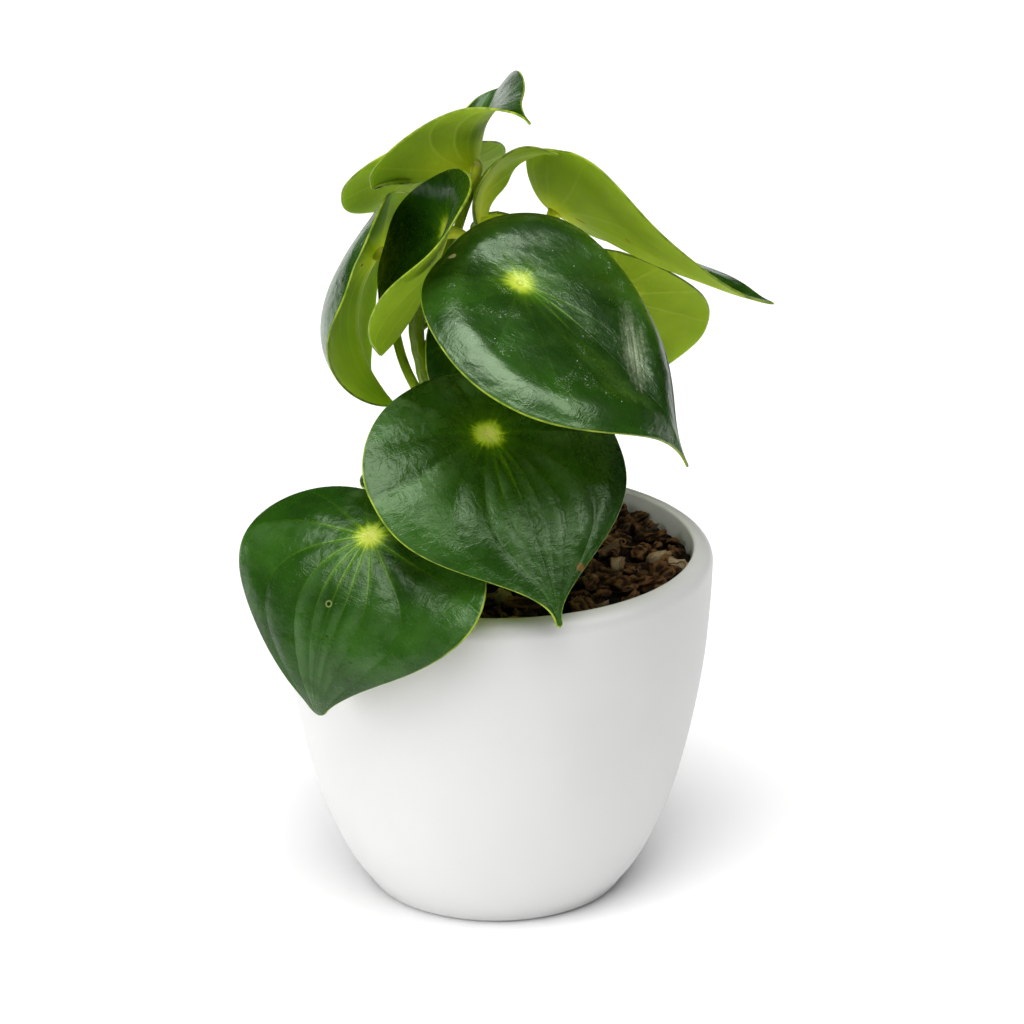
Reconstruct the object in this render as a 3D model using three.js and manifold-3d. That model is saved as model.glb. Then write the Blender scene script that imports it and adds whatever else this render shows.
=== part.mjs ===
// A potted peperomia: thick, glossy, teardrop leaves, each held near its middle by a round stalk,
// on one stem that grows out of coarse bark mix in a plain glazed pot.
// Millimetres, +Z up. The origin is the centre of the pot's flat foot, and -Y is the plant's front.
import * as THREE from "three";
import { mergeVertices } from "three/addons/utils/BufferGeometryUtils.js";
import Module from "manifold-3d";

const wasm = await Module();
wasm.setup();

// ---------------------------------------------------------------- driving dimensions
const GAP = 0.3; // between pieces that touch
const WELD = 1e-3; // points nearer than this are one

const POT_HEIGHT = 107.5;
const POT_FOOT_RADIUS = 36.5; // the flat that the pot stands on
const POT_WALL = 6;
const POT_FLOOR = 7;
const RIM_RADIUS = 65;
const RIM_OUTER_ROUND = 5;
const RIM_INNER_ROUND = POT_WALL - RIM_OUTER_ROUND;
const POT_FLOOR_INSET = 3; // how far inside the foot's edge the inner floor ends
const POT_SIDES = 56;
const OUTER_WALL_STEPS = 9;
const INNER_WALL_STEPS = 5;
const RIM_OUTER_STEPS = 4;
const RIM_INNER_STEPS = 2;
// outer radius of the wall at heights above the table
const POT_WALL_LINE = [
  [39.4, 2.2],
  [46.2, 12.2],
  [53.9, 30.6],
  [59.1, 51],
  [62.7, 71.4],
  [64.4, 89.8],
  [65, 102.5],
];

const SOIL_LEVEL = 100.5; // at the wall
const SOIL_MOUND = 1.5; // higher in the middle than at the wall
const SOIL_RINGS = 5;
const CHIP_COUNT = 85;
const CHIP_SEED = 7;
// lowest and highest of each random draw
const CHIP_LENGTH = [5, 11];
const CHIP_WIDTH_SHARE = [0.45, 0.8]; // of its length
const CHIP_HEIGHT = [2, 4];
const CHIP_CORNER_SHARE = [0.6, 1]; // a corner's place sideways, as a share of a box's
const CHIP_CORNER_RISE = [0.7, 1]; // and upwards
const CHIP_TURN = [-0.2, 0.2]; // radians off its place in the spiral
const CHIP_TIP = [-0.5, 0.5]; // radians off level
const CHIP_LIFT = [0, 1.2]; // of its middle above the soil
const CHIP_MARGIN = 7; // from the outermost chip's middle to the soil's edge
const GOLDEN_ANGLE = Math.PI * (3 - Math.sqrt(5)); // from one chip to the next

const BLADE_THICKNESS = 1.2;
const BLADE_ROWS = 14; // cells along a blade
const BLADE_HALF_COLUMNS = 4; // cells from the midrib to one edge
const SECTION_STEPS = 4; // steps of the cross-section in each cell
const CREASE = 4; // distance over which a fold along the midrib eases in
const EDGE_WAVE = 0.5;
const EDGE_WAVE_TURN = 14; // radians along a blade
const EDGE_WAVE_SHIFT = 2; // radians from the midrib to an edge
const EDGE_WAVE_REACH = 10; // half-width from which the wave is at its full height
const TIP_HALF_WIDTH = 0.5;
const MARCH_STEP = 2;

const STEM_RADIUS = 2;
const STEM_SIDES = 10;
const STEM_STEPS = 18;
const STEM_SAMPLES = 200;
const STALK_SIDES = 6;
const STALK_STEPS = 8;

const FINISHES = {
  pot: { color: 0xf2f1ee, roughness: 0.35 },
  soil: { color: 0x3a261c, roughness: 0.95 },
  stem: { color: 0x6c8a2c, roughness: 0.5 },
  stalk: { color: 0x86a13a, roughness: 0.5 },
  blade: { color: 0x2f5a2b, roughness: 0.35 },
};

// ---------------------------------------------------------------- leaves
// Each blade grows from its joint with the stalk. yaw, pitch and roll aim the midrib there; droop and
// tuck are how far it bends down on its way to the tip and to the base; stalk is the joint's place along
// the midrib. fold is the slope of each half beside the midrib and cup its bend on the way to the edge
// (degrees, down is positive), and open is how fast both folds grow per millimetre of midrib. widest,
// taper and drip shape the outline.
const SPECIES = {
  roll: 0, stalk: 0.28, droop: 30, tuck: 15, cupL: 20, cupR: 20, foldL: 0, foldR: 0,
  twist: 0, sway: 0, open: 0, widest: 0.42, taper: 2.4, drip: 1.8, stalkRadius: 1.45, approach: 5, via: [],
};

const LEAVES = {
  top: {
    joint: [-7, 17, 220], yaw: -89, pitch: 54, roll: 54, length: 98.5, left: 30.5, right: 31.5,
    stalk: 0.25, droop: 61, tuck: -113, cupL: 29, cupR: 36, foldL: -39, foldR: -61,
    twist: -57, sway: 15, open: 0.5, widest: 0.31, taper: 1.2, drip: 1.85,
    from: 197, via: [[-10, 9, 206]], approach: 2, stalkRadius: 1.35,
  },
  back_high: {
    joint: [-17.5, 49, 209], yaw: 98, pitch: -31, roll: 4, length: 63, left: 30, right: 22.5,
    stalk: 0.31, droop: 7, tuck: -18, cupL: 11, cupR: -6, foldL: 9, foldR: -20,
    twist: -11, open: 0.25, widest: 0.41, taper: 2.3, drip: 1.6,
    from: 189, via: [[-15, 20, 194], [-16.5, 35, 198]],
  },
  left_dark: {
    joint: [-14.5, -10.5, 208], yaw: -114, pitch: -62, roll: 56, length: 58.5, left: 39.5, right: 40.5,
    stalk: 0.3, droop: -32, tuck: -14, cupL: 10, cupR: -2, foldL: -11, foldR: -17,
    twist: 26, sway: 8, open: -0.25, widest: 0.43, taper: 2.2, drip: 0.45,
    from: 194, via: [[-11, -1, 201]],
  },
  left_far: {
    joint: [-35.5, 26.5, 190], yaw: 191, pitch: -52, roll: 49, length: 70.5, left: 54, right: 45.5,
    droop: 81, tuck: -18, cupL: 50, cupR: 68, foldL: 6, foldR: -68,
    twist: 9, sway: 33, open: 0.05, widest: 0.47, taper: 2.2, drip: 1.1,
    from: 146, via: [[-27, 10, 160], [-30, 15, 170.5], [-31, 21, 181]],
  },
  inner_curl: {
    joint: [-5, 3.5, 205.5], yaw: 8, pitch: 101, roll: -2, length: 46.5, left: 20, right: 19.5,
    stalk: 0.18, droop: 118, tuck: 7, cupL: 43, cupR: 28, foldL: 3, foldR: -17,
    twist: -36, sway: -7, open: -0.4, drip: 1.6, taper: 2.2,
    from: 181, via: [[-6, 7, 188], [0.5, 6, 197]], stalkRadius: 1.3,
  },
  right_high: {
    joint: [18, 27.5, 202.5], yaw: -21, pitch: -27, roll: -37, length: 89.5, left: 41.5, right: 42.5,
    stalk: 0.21, droop: -18, tuck: -55, cupL: 25, cupR: -13, foldL: -25, foldR: -8,
    twist: 26, sway: 2, open: 0.05, widest: 0.36, taper: 2.5, drip: 1.45,
    from: 176, via: [[-3, 15, 183], [10, 22, 190]],
  },
  right_low: {
    joint: [33, 37, 173], yaw: 102, pitch: -52, roll: 17, length: 76.5, left: 36.5, right: 33,
    stalk: 0.29, droop: 27, tuck: -3, cupL: 21, cupR: -4, foldL: 5, foldR: -4,
    twist: -8, sway: 9, open: -0.15, drip: 1.5,
    from: 167, via: [[-4, 9, 174], [16, 20, 172]],
  },
  young: {
    joint: [1, 31, 198], yaw: 85, pitch: -50, length: 24, left: 9, right: 9,
    droop: 20, drip: 1.2, from: 172, via: [[-8, 18, 182], [-2, 26, 190]], stalkRadius: 0.9,
  },
  front_high: {
    joint: [7, -37.5, 201], yaw: -21, pitch: -28, roll: 24, length: 99, left: 40.5, right: 44,
    stalk: 0.25, droop: 46, tuck: 34, cupL: 46, cupR: 45, foldL: -10, foldR: -26,
    twist: -29, sway: -8, open: -0.05, widest: 0.44, taper: 2.3, drip: 2.2,
    from: 184, via: [[-9, -12, 188]], stalkRadius: 1.7,
  },
  front_middle: {
    joint: [-2, -42, 157], yaw: -56, pitch: -36, roll: 6, length: 85, left: 39, right: 41.5,
    stalk: 0.29, droop: 32, tuck: 18, cupL: 23, cupR: 9, foldL: -8, foldR: 0,
    twist: 3, sway: 4, open: 0.1, widest: 0.38, taper: 2.8, drip: 2.25,
    from: 122, via: [[-8, -18, 136]], stalkRadius: 1.7,
  },
  front_low: {
    joint: [-36, -48, 128], yaw: -126, pitch: -26, roll: -10, length: 79.5, left: 43, right: 40,
    stalk: 0.24, droop: 91, tuck: 33, cupL: -20, cupR: 33, foldL: 12, foldR: -8,
    twist: -2, sway: -3, open: 0.15, widest: 0.38, taper: 2, drip: 1.45,
    from: 107, via: [[-27, -24, 116]], stalkRadius: 1.7,
  },
  inner_hanging: {
    joint: [-11, -5.5, 174.5], yaw: -80, pitch: -70, length: 40, left: 16, right: 10,
    droop: 10, drip: 1.5, from: 160,
  },
  back_middle: {
    joint: [4, 22, 158], yaw: 92, pitch: -66, length: 43, left: 22, right: 21,
    droop: 20, cupL: 20, cupR: 20, from: 140, via: [[-5, 14, 148]],
  },
  back_low: {
    joint: [9, 39, 124.5], yaw: 72, pitch: -12, length: 69, left: 28, right: 28,
    droop: 50, cupL: 30, cupR: 25, from: 112, via: [[-2, 18, 119]],
  },
  back_left: {
    joint: [-19, 26, 121], yaw: 126, pitch: 0, length: 52, left: 19, right: 18,
    droop: 45, cupL: 25, cupR: 25, from: 106,
  },
};

// The main stem's centre line, from inside the soil to the crown.
const STEM_LINE = [
  [-13.5, 3, 91],
  [-14, 3, 104],
  [-16, 3.5, 126],
  [-20.6, 4, 156],
  [-23.4, 4, 174],
  [-21.5, 4, 184],
  [-16.7, 4, 192],
  [-11.3, 4.2, 199.5],
];

// ---------------------------------------------------------------- small helpers
const vec = (xyz) => new THREE.Vector3(...xyz);
const radians = THREE.MathUtils.degToRad;

// The mulberry32 generator: numbers from 0 to 1, always the same for one seed.
function seededRandom(seed) {
  let state = seed >>> 0;
  return () => {
    state = (state + 0x6d2b79f5) >>> 0;
    let t = state;
    t = Math.imul(t ^ (t >>> 15), t | 1);
    t ^= t + Math.imul(t ^ (t >>> 7), t | 61);
    return ((t ^ (t >>> 14)) >>> 0) / 4294967296;
  };
}

function geometryOf(points, triangles) {
  const geometry = new THREE.BufferGeometry();
  const numbers = points.flatMap((p) => [p.x, p.y, p.z]);
  geometry.setAttribute("position", new THREE.Float32BufferAttribute(numbers, 3));
  geometry.setIndex(triangles.flat());
  return geometry;
}

// A closed geometry as a manifold solid, and back.
function toSolid(geometry) {
  const bare = geometry.clone();
  bare.deleteAttribute("normal");
  bare.deleteAttribute("uv");
  const merged = mergeVertices(bare, WELD);
  return new wasm.Manifold(new wasm.Mesh({
    numProp: 3,
    vertProperties: new Float32Array(merged.attributes.position.array),
    triVerts: new Uint32Array(merged.index.array),
  }));
}

function fromSolid(solid) {
  const mesh = solid.getMesh();
  const geometry = new THREE.BufferGeometry();
  geometry.setAttribute("position", new THREE.BufferAttribute(new Float32Array(mesh.vertProperties), 3));
  geometry.setIndex(Array.from(mesh.triVerts));
  return geometry;
}

function named(name, geometry, finish) {
  geometry.computeVertexNormals();
  const mesh = new THREE.Mesh(geometry, new THREE.MeshStandardMaterial({ ...finish, metalness: 0 }));
  mesh.name = name;
  return mesh;
}

// ---------------------------------------------------------------- leaf blades
// Half-width at u along the midrib (0 base, 1 tip), as a share of the widest.
function outline(u, leaf) {
  if (u < leaf.widest) {
    const back = (leaf.widest - u) / leaf.widest;
    return Math.sqrt(Math.max(0, 1 - back * back));
  }
  const t = (u - leaf.widest) / (1 - leaf.widest);
  return Math.pow(1 - Math.pow(t, leaf.taper), leaf.drip);
}

// Turns the first two of three perpendicular unit vectors by an angle, from the first towards the second.
function turn(a, b, angle) {
  const c = Math.cos(angle);
  const s = Math.sin(angle);
  const first = a.clone().multiplyScalar(c).addScaledVector(b, s);
  const second = b.clone().multiplyScalar(c).addScaledVector(a, -s);
  return [first, second];
}

// The blade's own axes at the joint: along the midrib, to its left, and out of its upper face.
function jointFrame(leaf) {
  const yaw = radians(leaf.yaw);
  const pitch = radians(leaf.pitch);
  const along = vec([Math.cos(pitch) * Math.cos(yaw), Math.cos(pitch) * Math.sin(yaw), Math.sin(pitch)]);
  const side = vec([-Math.sin(yaw), Math.cos(yaw), 0]);
  const [left, up] = turn(side, along.clone().cross(side), radians(leaf.roll));
  return { along, left, up };
}

// The midrib's points and axes at each distance from the joint, marched in short steps.
function midrib(leaf, distances) {
  const toTip = (1 - leaf.stalk) * leaf.length;
  const toBase = leaf.stalk * leaf.length;
  const stations = new Array(distances.length);
  const march = (order) => {
    let { along, left, up } = jointFrame(leaf);
    const point = vec(leaf.joint);
    let at = 0;
    for (const i of order) {
      const count = Math.max(1, Math.floor(Math.abs(distances[i] - at) / MARCH_STEP) + 1);
      const step = (distances[i] - at) / count;
      for (let k = 0; k < count; k++) {
        const bend = radians(step > 0 ? leaf.droop / toTip : leaf.tuck / toBase) * step;
        const sway = radians(step > 0 ? leaf.sway / toTip : 0) * step;
        const twist = radians(leaf.twist / leaf.length) * step;
        point.addScaledVector(along, step / 2);
        [along, up] = turn(along, up, -bend);
        [along, left] = turn(along, left, -sway);
        [left, up] = turn(left, up, twist);
        point.addScaledVector(along, step / 2);
        at += step;
      }
      stations[i] = { point: point.clone(), left, up };
    }
  };
  const all = distances.map((_, i) => i);
  march(all.filter((i) => distances[i] >= 0));
  march(all.filter((i) => distances[i] < 0).reverse());
  return stations;
}

// Rows of points across the middle surface of a blade, each from its right edge to its left edge.
function bladeRows(leaf, phase) {
  const us = Array.from({ length: BLADE_ROWS + 1 }, (_, i) => (1 - Math.cos((Math.PI * i) / BLADE_ROWS)) / 2);
  const distances = us.map((u) => (u - leaf.stalk) * leaf.length);
  const stations = midrib(leaf, distances);
  const half = BLADE_HALF_COLUMNS;
  return us.map((u, i) => {
    const { point, left, up } = stations[i];
    const pole = i === 0 || i === us.length - 1;
    if (pole) return [point];
    const row = new Array(2 * half + 1);
    row[half] = point;
    for (const [sign, width, fold, cup] of [
      [1, leaf.left, leaf.foldL, leaf.cupL],
      [-1, leaf.right, leaf.foldR, leaf.cupR],
    ]) {
      const reach = Math.max(outline(u, leaf) * width, TIP_HALF_WIDTH);
      const slope = radians(fold + leaf.open * distances[i]);
      const step = reach / half / SECTION_STEPS;
      let out = 0;
      let down = 0;
      for (let j = 1; j <= half; j++) {
        for (let k = 0; k < SECTION_STEPS; k++) {
          const h = ((j - 1) * SECTION_STEPS + k + 0.5) * step;
          const angle = slope * (1 - Math.exp(-h / CREASE)) + (radians(cup) * h) / width;
          out += step * Math.cos(angle);
          down += step * Math.sin(angle);
        }
        const share = (j / half) ** 2 * Math.min(1, reach / EDGE_WAVE_REACH);
        const wave = EDGE_WAVE * share * Math.sin(EDGE_WAVE_TURN * u + EDGE_WAVE_SHIFT * sign + phase);
        const place = point.clone().addScaledVector(left, sign * out);
        row[half + sign * j] = place.addScaledVector(up, wave - down);
      }
    }
    return row;
  });
}

// A thin solid on both sides of the rows, its two faces split into triangles alike.
function bladeGeometry(leaf, phase, thickness = BLADE_THICKNESS) {
  const rows = bladeRows(leaf, phase);
  const last = rows.length - 1;
  const wide = 2 * BLADE_HALF_COLUMNS;
  const at = (i, j) => rows[i][rows[i].length === 1 ? 0 : j];
  const normals = rows.map((row, i) => row.map((_, j) => {
    const a = Math.max(i - 1, 0);
    const b = Math.min(i + 1, last);
    const k = i === 0 || i === last ? BLADE_HALF_COLUMNS : j;
    const r = i === 0 ? 1 : i === last ? last - 1 : i;
    const along = at(b, k).clone().sub(at(a, k));
    const across = at(r, Math.min(k + 1, wide)).clone().sub(at(r, Math.max(k - 1, 0)));
    return along.cross(across).normalize();
  }));
  const points = [];
  const index = { top: [], bottom: [] };
  for (const [face, offset] of [["top", thickness / 2], ["bottom", -thickness / 2]]) {
    rows.forEach((row, i) => {
      index[face].push(row.map((p, j) => points.push(p.clone().addScaledVector(normals[i][j], offset)) - 1));
    });
  }
  const pick = (face, i, j) => index[face][i][index[face][i].length === 1 ? 0 : j];
  const triangles = [];
  const add = (a, b, c) => {
    if (a !== b && b !== c && c !== a) triangles.push([a, b, c]);
  };
  for (let i = 0; i < last; i++) {
    for (let j = 0; j < wide; j++) {
      const [a, b, c, d] = [[i, j], [i + 1, j], [i + 1, j + 1], [i, j + 1]];
      for (const [p, q, r] of [[a, b, c], [a, c, d]]) {
        add(pick("top", ...p), pick("top", ...q), pick("top", ...r));
        add(pick("bottom", ...p), pick("bottom", ...r), pick("bottom", ...q));
      }
    }
    for (const [j, flip] of [[wide, false], [0, true]]) {
      const [a, b] = [pick("top", i, j), pick("top", i + 1, j)];
      const [c, d] = [pick("bottom", i + 1, j), pick("bottom", i, j)];
      if (flip) {
        add(a, c, b);
        add(a, d, c);
      } else {
        add(a, b, c);
        add(a, c, d);
      }
    }
  }
  return geometryOf(points, triangles);
}

// ---------------------------------------------------------------- stem and stalks
function tube(points, radius, sides, steps) {
  const section = new THREE.Shape();
  for (let i = 0; i < sides; i++) {
    const angle = (2 * Math.PI * i) / sides;
    const method = i === 0 ? "moveTo" : "lineTo";
    section[method](radius * Math.cos(angle), radius * Math.sin(angle));
  }
  section.closePath();
  const path = new THREE.CatmullRomCurve3(points, false, "centripetal");
  return new THREE.ExtrudeGeometry(section, { steps, extrudePath: path, bevelEnabled: false });
}

const stemPoints = STEM_LINE.map(vec);
const stemCurve = new THREE.CatmullRomCurve3(stemPoints, false, "centripetal");

// The stem grown by the gap on all sides: the hole in the soil, and what the stalks are cut back by.
function grownStem() {
  const foot = stemPoints[0].clone().addScaledVector(stemCurve.getTangent(0), -GAP);
  const crown = stemPoints.at(-1).clone().addScaledVector(stemCurve.getTangent(1), GAP);
  return toSolid(tube([foot, ...stemPoints.slice(1, -1), crown], STEM_RADIUS + GAP, STEM_SIDES, STEM_STEPS));
}

const stemRoom = grownStem();

function stemAt(height) {
  const samples = stemCurve.getPoints(STEM_SAMPLES);
  return samples.reduce((best, p) => (Math.abs(p.z - height) < Math.abs(best.z - height) ? p : best));
}

// A stalk from inside the stem to its blade's joint, cut back from both to leave the gaps.
function stalkGeometry(leaf, phase) {
  const { up } = jointFrame(leaf);
  const joint = vec(leaf.joint);
  const approach = joint.clone().addScaledVector(up, -leaf.approach);
  const points = [stemAt(leaf.from), ...leaf.via.map(vec), approach, joint];
  const bladeRoom = toSolid(bladeGeometry(leaf, phase, BLADE_THICKNESS + 2 * GAP));
  const solid = toSolid(tube(points, leaf.stalkRadius, STALK_SIDES, STALK_STEPS));
  const pieces = solid.subtract(stemRoom).subtract(bladeRoom).decompose();
  return fromSolid(pieces.reduce((a, b) => (b.volume() > a.volume() ? b : a)));
}

// ---------------------------------------------------------------- pot
function arcPoints(cx, cz, radius, from, to, count) {
  return Array.from({ length: count + 1 }, (_, i) => {
    const angle = radians(from + ((to - from) * i) / count);
    return new THREE.Vector2(cx + radius * Math.cos(angle), cz + radius * Math.sin(angle));
  });
}

const wallCurve = new THREE.SplineCurve(POT_WALL_LINE.map(([r, z]) => new THREE.Vector2(r, z)));

// The inside of the pot from the corner of its floor up to the soil's edge.
const innerLine = [
  new THREE.Vector2(POT_FOOT_RADIUS - POT_FLOOR_INSET, POT_FLOOR),
  ...wallCurve.getPoints(INNER_WALL_STEPS).slice(1, -1).map((p) => new THREE.Vector2(p.x - POT_WALL, p.y)),
  new THREE.Vector2(RIM_RADIUS - POT_WALL, SOIL_LEVEL),
];

function potGeometry() {
  const outer = wallCurve.getPoints(OUTER_WALL_STEPS);
  const rimOuter = arcPoints(
    RIM_RADIUS - RIM_OUTER_ROUND, POT_HEIGHT - RIM_OUTER_ROUND, RIM_OUTER_ROUND,
    0, 90, RIM_OUTER_STEPS,
  );
  const rimInner = arcPoints(
    RIM_RADIUS - POT_WALL + RIM_INNER_ROUND, POT_HEIGHT - RIM_INNER_ROUND, RIM_INNER_ROUND,
    90, 180, RIM_INNER_STEPS,
  );
  const profile = [
    new THREE.Vector2(0, 0),
    new THREE.Vector2(POT_FOOT_RADIUS, 0),
    ...outer,
    ...rimOuter.slice(1),
    ...rimInner.slice(1),
    ...innerLine.toReversed(),
    new THREE.Vector2(0, POT_FLOOR),
  ];
  return uprightLathe(profile, POT_SIDES);
}

// LatheGeometry turns about Y, so its axis is stood up along Z.
function uprightLathe(profile, sides) {
  const geometry = new THREE.LatheGeometry(profile, sides);
  geometry.rotateX(Math.PI / 2);
  return geometry;
}

// ---------------------------------------------------------------- soil with bark chips
const soilRadius = RIM_RADIUS - POT_WALL - GAP;

function soilHeight(radius) {
  return SOIL_LEVEL + SOIL_MOUND * (1 - (radius / soilRadius) ** 2);
}

// Fills the pot, with a gap to its floor and wall.
function soilBody() {
  const profile = [new THREE.Vector2(0, POT_FLOOR + GAP)];
  innerLine.forEach((p) => profile.push(new THREE.Vector2(p.x - GAP, p.y + GAP)));
  for (let i = SOIL_RINGS - 1; i >= 0; i--) {
    const radius = (soilRadius * i) / SOIL_RINGS;
    profile.push(new THREE.Vector2(radius, soilHeight(radius)));
  }
  return toSolid(uprightLathe(profile, POT_SIDES));
}

// Rough bark chips, tipped at random and sunk by about half into the soil.
function barkChips() {
  const random = seededRandom(CHIP_SEED);
  const between = (low, high) => low + (high - low) * random();
  const chips = [];
  for (let i = 0; i < CHIP_COUNT; i++) {
    const length = between(...CHIP_LENGTH);
    const width = length * between(...CHIP_WIDTH_SHARE);
    const chip = new THREE.BoxGeometry(length, width, between(...CHIP_HEIGHT));
    const corner = chip.attributes.position;
    const shift = Array.from({ length: 8 }, () => [
      between(...CHIP_CORNER_SHARE), between(...CHIP_CORNER_SHARE), between(...CHIP_CORNER_RISE),
    ]);
    for (let k = 0; k < corner.count; k++) {
      const [x, y, z] = [corner.getX(k), corner.getY(k), corner.getZ(k)];
      const [sx, sy, sz] = shift[(x > 0 ? 1 : 0) + (y > 0 ? 2 : 0) + (z > 0 ? 4 : 0)];
      corner.setXYZ(k, x * sx, y * sy, z * sz);
    }
    const radius = (soilRadius - CHIP_MARGIN) * Math.sqrt((i + 0.5) / CHIP_COUNT);
    const angle = i * GOLDEN_ANGLE + between(...CHIP_TURN);
    const place = new THREE.Matrix4().makeRotationFromEuler(
      new THREE.Euler(between(...CHIP_TIP), between(...CHIP_TIP), between(0, 2 * Math.PI)),
    );
    const height = soilHeight(radius) + between(...CHIP_LIFT);
    place.setPosition(radius * Math.cos(angle), radius * Math.sin(angle), height);
    chips.push(toSolid(chip.applyMatrix4(place)));
  }
  return chips;
}

function soilGeometry(stemHole) {
  let soil = soilBody();
  for (const chip of barkChips()) soil = soil.add(chip);
  return fromSolid(soil.subtract(stemHole));
}

// ---------------------------------------------------------------- the plant, put together
const plant = new THREE.Group();

plant.add(named("pot", potGeometry(), FINISHES.pot));
plant.add(named("soil", soilGeometry(stemRoom), FINISHES.soil));
plant.add(named("stem", tube(stemPoints, STEM_RADIUS, STEM_SIDES, STEM_STEPS), FINISHES.stem));

Object.entries(LEAVES).forEach(([name, values], i) => {
  const leaf = { ...SPECIES, ...values };
  plant.add(named(`blade_${name}`, bladeGeometry(leaf, i), FINISHES.blade));
  plant.add(named(`stalk_${name}`, stalkGeometry(leaf, i), FINISHES.stalk));
});

export default plant;
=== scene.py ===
"""A potted peperomia: glossy teardrop leaves on round stalks, bark mix and a plain white glazed pot.

Lengths are written in millimetres and turned into metres where a mesh is made. The pot's axis is x = y = 0,
the pot stands on z = 0, and the plant is seen from -Y.
"""

import bpy
import numpy as np
from mathutils import Euler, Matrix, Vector, noise


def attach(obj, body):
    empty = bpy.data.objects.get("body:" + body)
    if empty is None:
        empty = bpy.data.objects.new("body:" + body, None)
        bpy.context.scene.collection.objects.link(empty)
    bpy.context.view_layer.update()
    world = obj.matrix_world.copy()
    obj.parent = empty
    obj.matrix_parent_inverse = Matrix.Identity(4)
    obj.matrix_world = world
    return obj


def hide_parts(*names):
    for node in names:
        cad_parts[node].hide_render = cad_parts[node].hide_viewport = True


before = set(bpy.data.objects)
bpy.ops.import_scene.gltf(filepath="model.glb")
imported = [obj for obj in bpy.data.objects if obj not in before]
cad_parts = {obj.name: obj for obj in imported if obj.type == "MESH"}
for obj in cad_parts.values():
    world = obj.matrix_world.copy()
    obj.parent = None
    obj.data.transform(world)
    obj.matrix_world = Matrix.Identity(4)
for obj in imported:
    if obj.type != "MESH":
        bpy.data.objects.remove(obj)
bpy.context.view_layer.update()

MM = 0.001

# ---- camera and floor
CAMERA_PLACE = (4.8, -1213.6, 583.0)
CAMERA_TARGET = (4.8, 0.0, 117.1)
CAMERA_LENS = 153.25
CAMERA_SENSOR = 36.0
CAMERA_CLIP = (0.05, 30.0)  # metres
FLOOR_NEAR = 620
FLOOR_FAR = 6000

# ---- pot
POT_HEIGHT = 107.5
POT_FOOT_RADIUS = 36.5
POT_FOOT_INNER = 5.0
POT_FOOT_HOLLOW = 0.35
POT_FOOT_LINE = (  # out from the foot's radius, and up
    (-4.0, POT_FOOT_HOLLOW), (-3.0, 0.0), (0.0, 0.0), (1.0, 0.2), (1.9, 0.65), (2.5, 1.3),
)
POT_WALL = 6.0
RIM_RADIUS = 65.0
RIM_OUTER_ROUND = 5.0
RIM_INNER_ROUND = 1.0
INSIDE_DEPTH = 14.0  # below the soil's level
INSIDE_DRAFT = 0.006
POT_SIDES = 192
POT_WALL_LINE = (
    (39.4, 2.2), (46.2, 12.2), (53.9, 30.6), (59.1, 51.0), (62.7, 71.4), (64.4, 89.8), (65.0, 102.5),
)

# ---- soil
SOIL_LEVEL = 100.5
SOIL_MOUND = 1.5
SOIL_RADIUS = 58.9
SOIL_TOP = 106.8
GROUND_RINGS = 60
GROUND_SIDES = 150
CHIP_SEED = 11
CHIP_COUNT = 400
CHIP_CELLS = 5
SMALL_CHIP = (4.0, 8.0)
LARGE_CHIP = (8.0, 13.0)
CHIP_WIDTH_SHARE = (0.42, 0.8)  # of its length
CHIP_HEIGHT = (2.0, 4.6)
CHIP_CORNER = (0.45, 1.15)  # how far out each corner is
CHIP_TIP = 0.62  # radians
CHIP_RISE = (-0.6, 2.2)
DARK_SHARE = 0.86  # of all chips
DARK_TONES = (0.05, 0.5)
PALE_TONES = (0.6, 0.9)
GOLDEN_ANGLE = 2.39996
CHIP_GAP = 0.35  # to the wall
SKIRT_DEPTH = 12
FIBRE_COUNT = 16
FIBRE_SPREAD = 50
FIBRE_LENGTH = (5, 11)
FIBRE_RADIUS = (0.16, 0.34)

# ---- leaves
BLADE_THICKNESS = 1.15
RIM_THICKNESS = 0.7
FULL_THICKNESS_INSET = 5.0
RIM_STEPS = 4
BLADE_ROWS = 110
BLADE_HALF_COLUMNS = 36
SECTION_CELLS = 4
MARCH_STEP = 2.0
CREASE = 4.0
EDGE_WAVE = 0.5
WAVE_REACH = 10.0  # half-width from which the wave is at its full height
WAVE_TURNS = 14.0
TIP_FADE = 6.0
LEAST_REACH = 0.02
VEIN_ANGLES = (0.0, 15.0, 33.0, 53.0, 78.0, 108.0, 142.0, 180.0)
VEIN_REACH = 0.34  # of the length: how soon the veins turn towards the tip
WOBBLE_FREE = 8.0  # degrees beside the midrib in which veins stay straight
DIMPLES = ((0.3, 1.7), (0.35, 8.0))  # depth and radius of the pits over the stalk
SHOULDER_INSET = 8.5
SHOULDER_WIDTH = 5.5
RIPPLE = 0.14
RIPPLE_LENGTHS = (5.2, 6.1)  # along and across
WOBBLES = ((2.2, 11), (1.4, 7))  # of the veins: degrees, and the length along and across
PANEL_SPAN = (3, 9)  # veins this far apart begin to bulge, and bulge fully
PATTERN_SHIFT = 37.0  # between the noise patterns of two leaves
TOP_FACE, UNDER_FACE, EDGE_FACE = 0, 1, 2  # places of a blade's materials

# ---- stem and stalks
STEM_RADIUS = 2.0
STEM_LINE = (
    (-13.5, 3, 91), (-14, 3, 104), (-16, 3.5, 126), (-20.6, 4, 156),
    (-23.4, 4, 174), (-21.5, 4, 184), (-16.7, 4, 192), (-11.3, 4.2, 199.5),
)
NODE_SWELL = 0.28
NODE_LENGTH = 2.2
STALK_END = 0.75  # below its blade's middle surface
TUBE_START = (0.31, 0.9, 0.2)  # a direction that no tube starts in

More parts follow.
